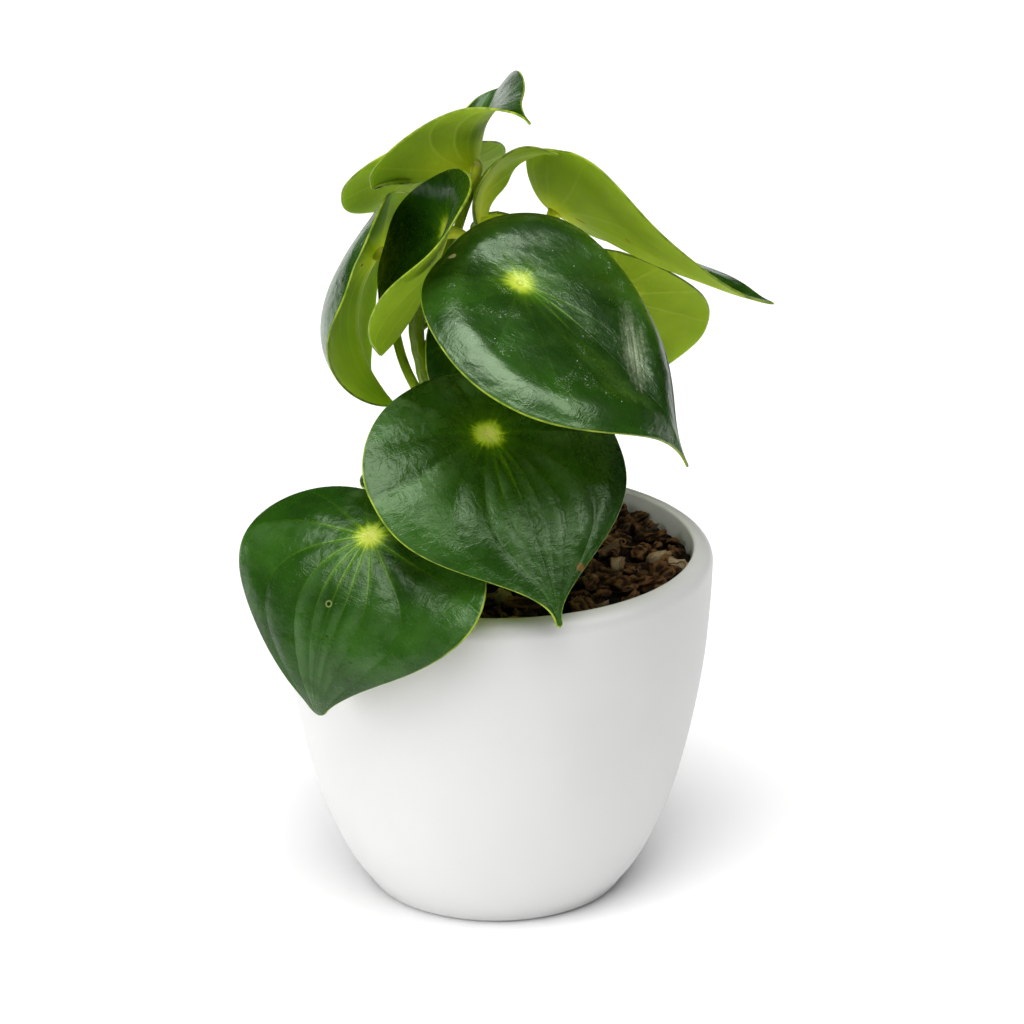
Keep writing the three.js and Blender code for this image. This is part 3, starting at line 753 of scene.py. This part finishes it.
class Blade:
    """The middle surface of one blade as a grid, with what its relief and its materials need."""

    def __init__(self, leaf, phase):
        self.leaf, self.phase = leaf, phase
        n, half = BLADE_ROWS, BLADE_HALF_COLUMNS
        self.u = (1 - np.cos(np.pi * np.arange(n + 1) / n)) / 2
        self.distance = (self.u - leaf["stalk"]) * leaf["length"]
        self.points = np.zeros((n + 1, 2 * half + 1, 3))
        self.across = np.zeros((n + 1, 2 * half + 1))
        self.reach = np.zeros((n + 1, 2))
        spread = (np.arange(half + 1) / half) ** 0.92
        to_end = (1 - self.u) * leaf["length"]
        for i, (point, left, up) in enumerate(midrib(leaf, self.distance)):
            self.points[i, half] = point
            blunt = np.sqrt(1 - (1 - min(to_end[i] / leaf["nib"], 1.0)) ** 2) * np.exp(-to_end[i] / TIP_FADE)
            for side, sign in enumerate((1, -1)):
                full = float(outline(self.u[i], leaf)) * leaf["half"][side] + leaf["nib"] * blunt
                reach = 0.0 if i in (0, n) else max(full - RIM_THICKNESS / 2, LEAST_REACH)
                offsets = spread * reach
                out, down = half_section(leaf, side, self.distance[i], offsets)
                height = EDGE_WAVE * spread**2 * min(1.0, full / WAVE_REACH)
                wave = height * np.sin(WAVE_TURNS * self.u[i] + 2 * sign + phase)
                column = half + sign * np.arange(half + 1)
                self.points[i, column] = point + np.outer(sign * out, left) + np.outer(wave - down, up)
                self.across[i, column] = sign * offsets
                self.reach[i, side] = full
        self.along = np.repeat(self.distance[:, None], 2 * half + 1, axis=1)
        self.radius = np.hypot(self.across, self.along)

    def edge_distance(self):
        """The shortest way from each point to the outline, in the flat."""
        best = np.full(self.across.shape, np.inf)
        for left, right, along in zip(*self.reach.T, self.distance):
            for across in (left, -right):
                best = np.minimum(best, np.hypot(self.across - across, self.along - along))
        return best

    def vein_numbers(self):
        """A number that is whole on each vein, from 0 on the midrib."""
        turn_length = VEIN_REACH * self.leaf["length"]
        on_left = self.across >= 0
        full = np.where(on_left, self.reach[:, :1], self.reach[:, 1:])
        at_joint = np.where(on_left, *self.reach[int(np.argmin(np.abs(self.distance)))])
        forward = turn_length * (1 - np.exp(-np.maximum(self.along, 0) / turn_length))
        forward = forward * np.maximum(full, 0.5) / at_joint
        ahead = np.where(self.along > 0, forward, self.along)
        angle = np.degrees(np.arctan2(np.abs(self.across), ahead))
        (lift, long), (more, wide) = WOBBLES
        wobble = lift * np.sin(self.along / long + self.phase)
        wobble = wobble + more * np.sin(self.across / wide + 2 * self.phase)
        angle = angle + wobble * ramp(angle, 0, WOBBLE_FREE) * ramp(180 - angle, 0, WOBBLE_FREE)
        return np.interp(angle, VEIN_ANGLES, np.arange(len(VEIN_ANGLES)))

    def spacing(self, number):
        """Millimetres of blade for one step of the vein number, across the veins."""
        slopes = []
        for axis in (1, 0):
            step = np.linalg.norm(np.roll(self.points, -1, axis) - np.roll(self.points, 1, axis), axis=-1)
            change = np.abs(np.roll(number, -1, axis) - np.roll(number, 1, axis))
            slopes.append(change / np.maximum(step, 1e-3))
        slope = np.hypot(*slopes)
        slope[:, [0, -1]] = slope[:, [1, -2]]
        slope[[0, -1]] = slope[[1, -2]]
        middle = BLADE_HALF_COLUMNS
        slope[:, middle] = np.maximum(slope[:, middle - 1], slope[:, middle + 1])
        return np.clip(1 / np.maximum(slope, 0.01), 0.1, 60)

    def relief(self, number, span, edge):
        """How far the surface stands out of its smooth form, by panels, dimples, shoulder and ripples."""
        leaf, phase, radius = self.leaf, self.phase, self.radius
        within = number - np.floor(number)
        lean = 0.5 + 0.45 * np.sin(2.3 * np.floor(number) + 1.7 * np.sign(self.across) + phase)
        panel = 2 * within ** (0.55 + lean) * (1 - within) ** (1.5 - lean)
        quilt = leaf["quilt"] * panel * ramp(radius, 4, 18) * ramp(edge, 0, 6) * ramp(span, *PANEL_SPAN)
        dimple = sum(depth * np.exp(-((radius / wide) ** 2)) for depth, wide in DIMPLES)
        shoulder = leaf["ring"] * np.exp(-(((edge - SHOULDER_INSET) / SHOULDER_WIDTH) ** 2))
        shoulder *= ramp(edge, 0, 3) * ramp(radius, 0, 16) ** 2
        long, wide = RIPPLE_LENGTHS
        ripple = RIPPLE * np.sin(self.along / long + phase) * np.sin(self.across / wide - phase)
        return quilt - dimple + shoulder + ripple * ramp(edge, 0, 8) * ramp(radius, 0, 10)


def grid_normals(points):
    """Unit normals of a grid whose first and last rows are single points."""
    low, high = np.roll(points, 1, 0), np.roll(points, -1, 0)
    low[0], high[-1] = points[0], points[-1]
    left, right = np.roll(points, 1, 1), np.roll(points, -1, 1)
    left[:, 0], right[:, -1] = points[:, 0], points[:, -1]
    normals = np.cross(high - low, right - left)
    normals[0] = np.cross(points[2] - points[0], points[2, -1] - points[2, 0])
    normals[-1] = np.cross(points[-1] - points[-3], points[-3, -1] - points[-3, 0])
    return unit(normals)


def blade_piece(name, leaf, phase, materials):
    """One blade: two fine faces a leaf's thickness apart, joined by a rounded edge."""
    blade = Blade(leaf, phase)
    edge = blade.edge_distance()
    number = blade.vein_numbers()
    span = blade.spacing(number)
    middle = blade.points + grid_normals(blade.points) * blade.relief(number, span, edge)[..., None]
    normals = grid_normals(middle)
    rows, columns = middle.shape[:2]
    last = rows - 1
    thick = (RIM_THICKNESS + (BLADE_THICKNESS - RIM_THICKNESS) * ramp(edge, 0, FULL_THICKNESS_INSET)) / 2
    points, info, faces, kinds = [], [], [], []

    def put(i, j, direction):
        points.append(middle[i, j] + thick[i, j] * direction)
        info.append((i, j))
        return len(points) - 1

    def grid(side):
        made = np.zeros((rows, columns), int)
        for i in range(rows):
            for j in range(columns):
                made[i, j] = made[i, 0] if i in (0, last) and j else put(i, j, side * normals[i, j])
        return made

    def bead(i, j, inward):
        """Points around the edge beside one point of the outline, from the upper face to the lower."""
        outward = unit(middle[i, j] - middle[inward])
        angles = np.radians(np.linspace(90, -90, RIM_STEPS + 1)[1:-1])
        return [put(i, j, outward * np.cos(a) + normals[i, j] * np.sin(a)) for a in angles]

    def add(kind, *corners):
        loop = [c for k, c in enumerate(corners) if c != corners[k - 1]]
        if len(set(loop)) >= 3:
            faces.append(loop)
            kinds.append(kind)

    top, bottom = grid(1), grid(-1)
    for i in range(last):
        for j in range(columns - 1):
            add(TOP_FACE, top[i, j], top[i + 1, j], top[i + 1, j + 1], top[i, j + 1])
            add(UNDER_FACE, bottom[i, j], bottom[i, j + 1], bottom[i + 1, j + 1], bottom[i + 1, j])
    ends = {0: bead(0, 0, (1, columns // 2)), last: bead(last, 0, (last - 1, columns // 2))}
    for column, beside in ((columns - 1, columns - 2), (0, 1)):
        strip = []
        for i in range(rows):
            beads = ends[i] if i in ends else bead(i, column, (i, beside))
            strip.append([top[i, column], *beads, bottom[i, column]])
        for near, far in zip(strip, strip[1:]):
            for k in range(RIM_STEPS):
                corners = (near[k], far[k], far[k + 1], near[k + 1])
                add(EDGE_FACE, *(corners if column else corners[::-1]))
    piece = new_piece(name, points, faces, materials, kinds)
    i, j = np.array(info).T
    across, along = blade.across[i, j], blade.along[i, j]
    store(piece, "flat", np.stack([across, along, edge[i, j]], 1))
    store(piece, "vein", np.stack([number[i, j], span[i, j], np.sign(across)], 1))
    store(piece, "flat_place", np.stack([across, along, np.full(len(across), PATTERN_SHIFT * phase)], 1))
    return piece


# ---- stem and stalks
def smooth_curve(line, count):
    """Points along a centripetal Catmull-Rom curve, evenly spaced."""
    line = np.asarray(line, float)
    line = np.vstack([2 * line[0] - line[1], line, 2 * line[-1] - line[-2]])
    samples = []
    for p0, p1, p2, p3 in zip(line, line[1:], line[2:], line[3:]):
        d0, d1, d2 = (np.sqrt(np.linalg.norm(b - a)) for a, b in ((p0, p1), (p1, p2), (p2, p3)))
        m1 = ((p1 - p0) / d0 - (p2 - p0) / (d0 + d1) + (p2 - p1) / d1) * d1
        m2 = ((p2 - p1) / d1 - (p3 - p1) / (d1 + d2) + (p3 - p2) / d2) * d1
        for t in np.linspace(0, 1, 24, endpoint=False):
            samples.append((2 * t**3 - 3 * t**2 + 1) * p1 + (t**3 - 2 * t**2 + t) * m1
                           + (3 * t**2 - 2 * t**3) * p2 + (t**3 - t**2) * m2)
    samples = np.array([*samples, line[-2]])
    length = np.concatenate([[0], np.cumsum(np.linalg.norm(np.diff(samples, axis=0), axis=1))])
    spots = np.linspace(0, length[-1], count)
    return np.stack([np.interp(spots, length, samples[:, k]) for k in range(3)], 1), spots


def tube_piece(name, centres, spots, radius, material, sides=20, lobes=0.0, phase=0.0):
    """A closed tube along points, with a radius at each, and what its material needs at each point."""
    tangents = unit(np.gradient(centres, axis=0))
    side = unit(np.cross(tangents[0], TUBE_START))
    angles = 2 * np.pi * np.arange(sides) / sides
    points, info = [], []
    for k, (centre, tangent) in enumerate(zip(centres, tangents)):
        side = unit(side - tangent * np.dot(side, tangent))
        other = np.cross(tangent, side)
        wavy = radius[k] * (1 + lobes * np.cos(3 * angles + phase + 0.04 * spots[k]))
        outward = np.outer(np.cos(angles), side) + np.outer(np.sin(angles), other)
        points.extend(centre + wavy[:, None] * outward)
        around = 2 * radius[k] * np.sin(angles / 2)
        info.extend((a, spots[k] + 40 * phase, spots[-1] - spots[k]) for a in around)
    piece = new_piece(name, points, closed_faces(points, sides, (centres[0], centres[-1])), [material])
    store(piece, "tube", [*info, (0, spots[0], 0), (0, spots[-1], 0)])
    return piece


def stem_point(height):
    centres, _ = smooth_curve(STEM_LINE, 400)
    return centres[int(np.argmin(np.abs(centres[:, 2] - height)))]


def stem_piece(material):
    """The main stem, thicker at the joints where its stalks leave it."""
    centres, spots = smooth_curve(STEM_LINE, 150)
    radius = np.full(len(centres), STEM_RADIUS)
    for leaf in LEAVES.values():
        radius += NODE_SWELL * np.exp(-(((centres[:, 2] - leaf["start"]) / NODE_LENGTH) ** 2))
    radius *= np.interp(spots, [0, spots[-1] - 5, spots[-1]], [1.05, 1.0, 0.75])
    return tube_piece("stem", centres, spots, radius, material, sides=28, lobes=0.03)


def stalk_piece(name, leaf, phase, material):
    """A stalk from the stem to its blade, swollen at both ends."""
    _, _, up = joint_frame(leaf)
    joint = np.array(leaf["joint"], float)
    ends = [joint - up * leaf["approach"], joint - up * STALK_END]
    centres, spots = smooth_curve([stem_point(leaf["start"]), *leaf["via"], *ends], 70)
    swell = 0.28 * np.exp(-spots / 3.0) + 0.75 * np.exp((spots - spots[-1]) / 1.6)
    return tube_piece(name, centres, spots, leaf["thick"] * (1 + swell), material, lobes=0.035, phase=phase)


# ---- pot
def wall_points(steps):
    """Points on the wall's smooth outer line, from the foot up to the rim."""
    line = [Vector(p) for p in POT_WALL_LINE]
    line = [line[0], *line, line[-1]]
    made = []
    for p0, p1, p2, p3 in zip(line, line[1:], line[2:], line[3:]):
        for t in np.linspace(0, 1, steps, endpoint=False):
            a, b = (p2 - p0) * 0.5, (p3 - p1) * 0.5
            made.append((2 * p1 - 2 * p2 + a + b) * t**3 + (-3 * p1 + 3 * p2 - 2 * a - b) * t**2 + a * t + p1)
    return [*made, line[-1]]


def arc_points(radius, height, size, start, end, count):
    angles = np.radians(np.linspace(start, end, count))
    return [Vector((radius + size * np.cos(a), height + size * np.sin(a))) for a in angles]


def lathe_piece(name, profile, sides, materials):
    """A closed round solid from a profile of radii and heights."""
    angles = 2 * np.pi * np.arange(sides) / sides
    points = []
    for radius, height in profile:
        points.extend(np.stack([radius * np.cos(angles), radius * np.sin(angles), np.full(sides, height)], 1))
    ends = ((0, 0, profile[0].y), (0, 0, profile[-1].y))
    return new_piece(name, points, closed_faces(points, sides, ends), materials)


def glaze_material():
    """Smooth white glaze, with the faintest clouds, grain and pinholes."""
    g = Graph("white_glaze")
    place = g.node("ShaderNodeTexCoord").outputs["Object"]
    cloud = g.noise(place, 14.0)
    body = g.mix(g.step(cloud, 0.35, 0.65), GLAZE["dark"], GLAZE["light"])
    body = g.paint(body, GLAZE["pinhole"], g.step(g.cells(place, 160.0), 0.05, 0.02), 0.12)
    g.set(Base_Color=body, Roughness=g.step(cloud, 0.3, 0.7, 0.36, 0.44), Specular_IOR_Level=0.4)
    g.set(Normal=g.bump(g.noise(place, 420.0, 2.0), 0.015, g.bump(cloud, 0.25)))
    return g.material


def pot_piece():
    """The glazed pot, with a soft rounded lip and a small round at its foot."""
    foot = [Vector((POT_FOOT_RADIUS + out, up)) for out, up in POT_FOOT_LINE]
    rim = arc_points(RIM_RADIUS - RIM_OUTER_ROUND, POT_HEIGHT - RIM_OUTER_ROUND, RIM_OUTER_ROUND, 0, 90, 12)
    lip = arc_points(
        RIM_RADIUS - POT_WALL + RIM_INNER_ROUND, POT_HEIGHT - RIM_INNER_ROUND, RIM_INNER_ROUND, 90, 180, 8,
    )
    top = lip[-1]
    depths = np.linspace(0, top.y - SOIL_LEVEL + INSIDE_DEPTH, 14)[1:]
    inner = [Vector((top.x - INSIDE_DRAFT * depth, top.y - depth)) for depth in depths]
    profile = [Vector((POT_FOOT_INNER, POT_FOOT_HOLLOW)), *foot, *wall_points(12), *rim[1:], *lip, *inner]
    return lathe_piece("pot_glazed", profile, POT_SIDES, [glaze_material()])


# ---- soil
def soil_height(radius):
    return SOIL_LEVEL + SOIL_MOUND * (1 - (radius / SOIL_RADIUS) ** 2)


def chip_mesh(cells):
    """Points and faces of a cube of side 2 whose six faces are grids, welded at the seams."""
    index, points, faces = {}, [], []

    def at(p):
        key = tuple(np.round(p, 5))
        if key not in index:
            index[key] = len(points)
            points.append(p)
        return index[key]

    ticks = np.linspace(-1, 1, cells + 1)
    for axis in range(3):
        for sign in (-1, 1):
            for a in range(cells):
                for b in range(cells):
                    corners = []
                    for i, j in ((a, b), (a + 1, b), (a + 1, b + 1), (a, b + 1)):
                        p = np.zeros(3)
                        p[axis], p[(axis + 1) % 3], p[(axis + 2) % 3] = sign, ticks[i], ticks[j]
                        corners.append(at(p))
                    faces.append(corners if sign > 0 else corners[::-1])
    return np.array(points), np.array(faces)


def rotation(random, tip):
    """A random turn about the upright axis, tipped a little."""
    tilt = random.uniform(-tip, tip), random.uniform(-tip, tip)
    return np.array(Euler((*tilt, random.uniform(0, 2 * np.pi))).to_matrix())


def chip_points(cube, random, length):
    """One bark chip: a flat split block with ragged, layered sides."""
    half = np.array([length, length * random.uniform(*CHIP_WIDTH_SHARE), random.uniform(*CHIP_HEIGHT)]) / 2
    sphere = unit(cube)
    body = cube * 0.62 + sphere * 0.46
    corner = random.uniform(*CHIP_CORNER, (2, 2, 2, 3))
    share = (cube + 1) / 2
    warp = np.zeros_like(body)
    for place in np.ndindex(2, 2, 2):
        weight = np.prod(np.where(place, share, 1 - share), axis=1)
        warp += weight[:, None] * corner[place]
    body = body * warp * half
    seed = random.uniform(0, 900, 3)
    made = []
    for p, outward in zip(body, sphere):
        layer = noise.noise(Vector((0.25 * p[0] + seed[0], 0.25 * p[1] + seed[1], 2.2 * p[2] + seed[2])))
        rough = noise.noise(Vector(0.55 * p + seed))
        fine = noise.noise(Vector((0.5 * p[0] + seed[2], 1.9 * p[1] + seed[0], 1.9 * p[2] + seed[1])))
        side = np.hypot(outward[0], outward[1])
        made.append(p + outward * (0.7 * layer * side + 1.1 * rough + 0.6 * fine))
    return np.array(made), body


def soil_piece():
    """Bark chips of many sizes over a dark crumbly ground, with a few pale fibres."""
    random = np.random.default_rng(CHIP_SEED)
    points, faces, tones, local = [], [], [], []

    def add(new_points, new_faces, tone, place):
        first = sum(len(p) for p in points)
        points.append(new_points)
        faces.extend((np.asarray(new_faces) + first).tolist())
        # a point's height over the soil's surface, from which the bark paints shade low between the chips
        rise = new_points[:, 2] - soil_height(np.hypot(new_points[:, 0], new_points[:, 1]))
        seed = random.uniform(0, 50)
        tones.extend((tone, seed, up) for up in rise)
        local.append(place)

    add(*ground(random))
    cube, cube_faces = chip_mesh(CHIP_CELLS)
    for i in range(CHIP_COUNT):
        length = random.uniform(*(SMALL_CHIP if i % 3 else LARGE_CHIP))
        chip, body = chip_points(cube, random, length)
        turned = chip @ rotation(random, CHIP_TIP).T
        radius = (SOIL_RADIUS - 3.5) * np.sqrt((i * 7 % CHIP_COUNT + 0.5) / CHIP_COUNT)
        angle = i * GOLDEN_ANGLE + random.uniform(-0.25, 0.25)
        height = soil_height(radius) + random.uniform(*CHIP_RISE)
        turned = turned + np.array([radius * np.cos(angle), radius * np.sin(angle), height])
        far = np.hypot(turned[:, 0], turned[:, 1])
        turned[:, :2] *= (np.minimum(far, SOIL_RADIUS - CHIP_GAP) / np.maximum(far, 1e-6))[:, None]
        turned[:, 2] = np.minimum(turned[:, 2], SOIL_TOP - 0.2 * random.random(len(turned)))
        tone = random.uniform(*DARK_TONES) if random.random() < DARK_SHARE else random.uniform(*PALE_TONES)
        add(turned, cube_faces, tone, body)
    for _ in range(FIBRE_COUNT):
        add(*fibre(random))
    piece = new_piece("bark_mix", np.vstack(points), faces, [bark_material()])
    store(piece, "chip", tones)
    store(piece, "grain", np.vstack(local))
    return piece


def ground(random):
    """The crumbly surface under the chips, down to a skirt inside the pot."""
    rings, sides = GROUND_RINGS, GROUND_SIDES
    angles = 2 * np.pi * np.arange(sides) / sides
    seed = Vector(random.uniform(0, 100, 3))
    points = []
    for k in range(rings + 1):
        radius = SOIL_RADIUS * k / rings
        for a in angles:
            p = Vector((radius * np.cos(a), radius * np.sin(a), 0))
            bump = 1.3 * noise.noise(0.3 * p + seed) + 0.7 * noise.noise(0.9 * p + seed)
            points.append((p.x, p.y, soil_height(radius) - 0.8 + bump))
    for a in angles:
        points.append((SOIL_RADIUS * np.cos(a), SOIL_RADIUS * np.sin(a), SOIL_LEVEL - SKIRT_DEPTH))
    faces = [(a, d, c, b) for a, b, c, d in ring_faces(rings + 2, sides)]
    return np.array(points), faces, 0.02, np.array(points)


def fibre(random):
    """A thin pale root fibre that lies over the chips."""
    radius = FIBRE_SPREAD * np.sqrt(random.random())
    angle = random.uniform(0, 2 * np.pi)
    heading = random.uniform(0, 6.28)
    start = np.array([radius * np.cos(angle), radius * np.sin(angle)])
    steps, reach = 9, random.uniform(*FIBRE_LENGTH)
    line = []
    for k in range(steps):
        heading += random.uniform(-0.5, 0.5)
        place = start + reach * k / steps * np.array([np.cos(heading), np.sin(heading)])
        place *= min(1.0, (SOIL_RADIUS - 2) / max(np.hypot(*place), 1e-6))
        arch = 1.1 * np.sin(np.pi * k / (steps - 1))
        line.append((*place, soil_height(np.hypot(*place)) + 2.1 + arch))
    centres, _ = smooth_curve(line, 24)
    thin = random.uniform(*FIBRE_RADIUS)
    sides = 4
    points = []
    for k, centre in enumerate(centres):
        size = thin * (0.35 + 0.65 * np.sin(np.pi * (k + 0.5) / len(centres)))
        for a in 2 * np.pi * np.arange(sides) / sides:
            points.append(centre + size * np.array([np.cos(a) * 0.7, np.cos(a) * 0.7, np.sin(a)]))
    return np.array(points), ring_faces(len(centres), sides), random.uniform(0.6, 1.0), np.array(points)


def bark_material():
    """Dark bark with grain and crumbs, pale edges that are partly dry wear and partly a painted highlight,
    and painted shade low between the chips. Each chip has its own tone.
    """
    g = Graph("bark")
    tone, seed, rise = g.parts(g.attribute("chip"))
    place = g.vectors("ADD", g.attribute("grain"), g.joined(seed, seed, seed))
    grain = g.noise(g.scaled(place, (0.22, 1.3, 1.7)), 1.5, 5.0, 0.7, 0.8)
    crumbs = g.noise(place, 1.8, 5.0, 0.72)
    patch = g.noise(place, 0.32, 3.0, 0.6)
    # partly painted highlight: paler where the chips' edges stick out, partly dry wear
    wear_and_highlight = g.plus(g.node("ShaderNodeNewGeometry").outputs["Pointiness"], g.times(crumbs, 0.05))
    # painted shade: darker where the surface lies low between the chips
    sunk_shade = g.plus(rise, g.times(patch, 2.0))
    body = g.layers(
        g.mix(g.step(tone, 0.0, 0.5), BARK["dark"], BARK["brown"]), BARK,
        ("pale", g.step(tone, 0.55, 0.95), 1.0),
        ("red", g.step(patch, 0.48, 0.7), 0.5),
        ("tan", g.step(grain, 0.54, 0.7), 0.4),
        ("dark", g.step(grain, 0.47, 0.32), 0.85),
        ("wear_and_highlight", g.step(wear_and_highlight, 0.535, 0.6), 0.6),
        ("crumb", g.step(crumbs, 0.66, 0.76), 0.5),
        ("sunk_shade", g.step(sunk_shade, 4.2, 1.2), 0.9),
    )
    g.set(Base_Color=body, Roughness=g.step(crumbs, 0.3, 0.7, 0.45, 0.85), Specular_IOR_Level=0.12)
    g.set(Normal=g.bump(crumbs, 0.5, g.bump(grain, 1.0)))
    return g.material


# ---- the plant, put together
def dress(piece, slot, *nodes):
    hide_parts(*nodes)
    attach(piece, "root")


def build_plant():
    dress(pot_piece(), "pot", "pot")
    dress(soil_piece(), "soil", "soil")
    stem_green = stalk_material("stem_green", *STEM_GREEN)
    stalk_green = stalk_material("stalk_green", *STALK_GREEN)
    dress(stem_piece(stem_green), "stem", "stem")
    plain_top, plain_under, edge = top_material("blade_top"), under_material("blade_under"), edge_material()
    for phase, (name, values) in enumerate(LEAVES.items()):
        leaf = {**SPECIES, **values}
        top, under = plain_top, plain_under
        if name in TOP_LOOKS:
            top = top_material(f"blade_top_{name}", **TOP_LOOKS[name])
        if name in UNDER_LOOKS:
            under = under_material(f"blade_under_{name}", **UNDER_LOOKS[name])
        dress(blade_piece(f"leaf_{name}", leaf, phase, [top, under, edge]), "blade", f"blade_{name}")
        dress(stalk_piece(f"petiole_{name}", leaf, phase, stalk_green), "stalk", f"stalk_{name}")


# ---- floor, light and camera
def add_floor():
    """A pale floor that ends in front of the pot and reaches far back."""
    g = Graph("pale_floor")
    place = g.node("ShaderNodeTexCoord").outputs["Object"]
    g.set(Base_Color=g.mix(g.noise(place, 3.0), FLOOR_DARK, FLOOR_LIGHT))
    g.set(Roughness=0.9, Specular_IOR_Level=0.1)
    near, far = FLOOR_NEAR, FLOOR_FAR
    corners = ((-far, -near, 0), (near, -near, 0), (near, far, 0), (-far, far, 0))
    floor = new_piece("floor", corners, [(0, 1, 2, 3)], [g.material], smooth=False)


def aimed(data, axis, direction):
    """A lamp or camera in the scene, with one of its axes turned to a direction."""
    made = bpy.data.objects.new(data.name, data)
    made.rotation_mode = "QUATERNION"
    made.rotation_quaternion = direction.to_track_quat(axis, "Y")
    bpy.context.scene.collection.objects.link(made)
    return made


def add_sun(name, azimuth, elevation, width, power, glossy, diffuse):
    """Light from far away, as wide as a softbox."""
    data = bpy.data.lights.new(name, "SUN")
    data.angle = np.radians(width)
    data.energy = power
    a, e = np.radians(azimuth), np.radians(elevation)
    lamp = aimed(data, "Z", Vector((np.sin(a) * np.cos(e), -np.cos(a) * np.cos(e), np.sin(e))))
    lamp.visible_glossy = glossy
    lamp.visible_diffuse = diffuse


def add_lights():
    """The suns, and a white background that only the camera sees."""
    for name, values in LIGHTS.items():
        add_sun(name, *values)
    world = bpy.data.worlds.new("studio")
    bpy.context.scene.world = world
    world.use_nodes = True
    background = world.node_tree.nodes["Background"]
    background.inputs["Color"].default_value = (1.0, 1.0, 1.0, 1.0)
    background.inputs["Strength"].default_value = 1.0
    world.cycles_visibility.diffuse = False
    world.cycles_visibility.glossy = False


def add_camera():
    data = bpy.data.cameras.new("camera")
    data.sensor_width = CAMERA_SENSOR
    data.lens = CAMERA_LENS
    data.clip_start, data.clip_end = CAMERA_CLIP
    place, target = Vector(CAMERA_PLACE) * MM, Vector(CAMERA_TARGET) * MM
    camera = aimed(data, "-Z", target - place)
    camera.location = place
    bpy.context.scene.camera = camera


build_plant()
add_floor()
add_lights()
add_camera()
bpy.context.scene.view_settings.view_transform = "Standard"
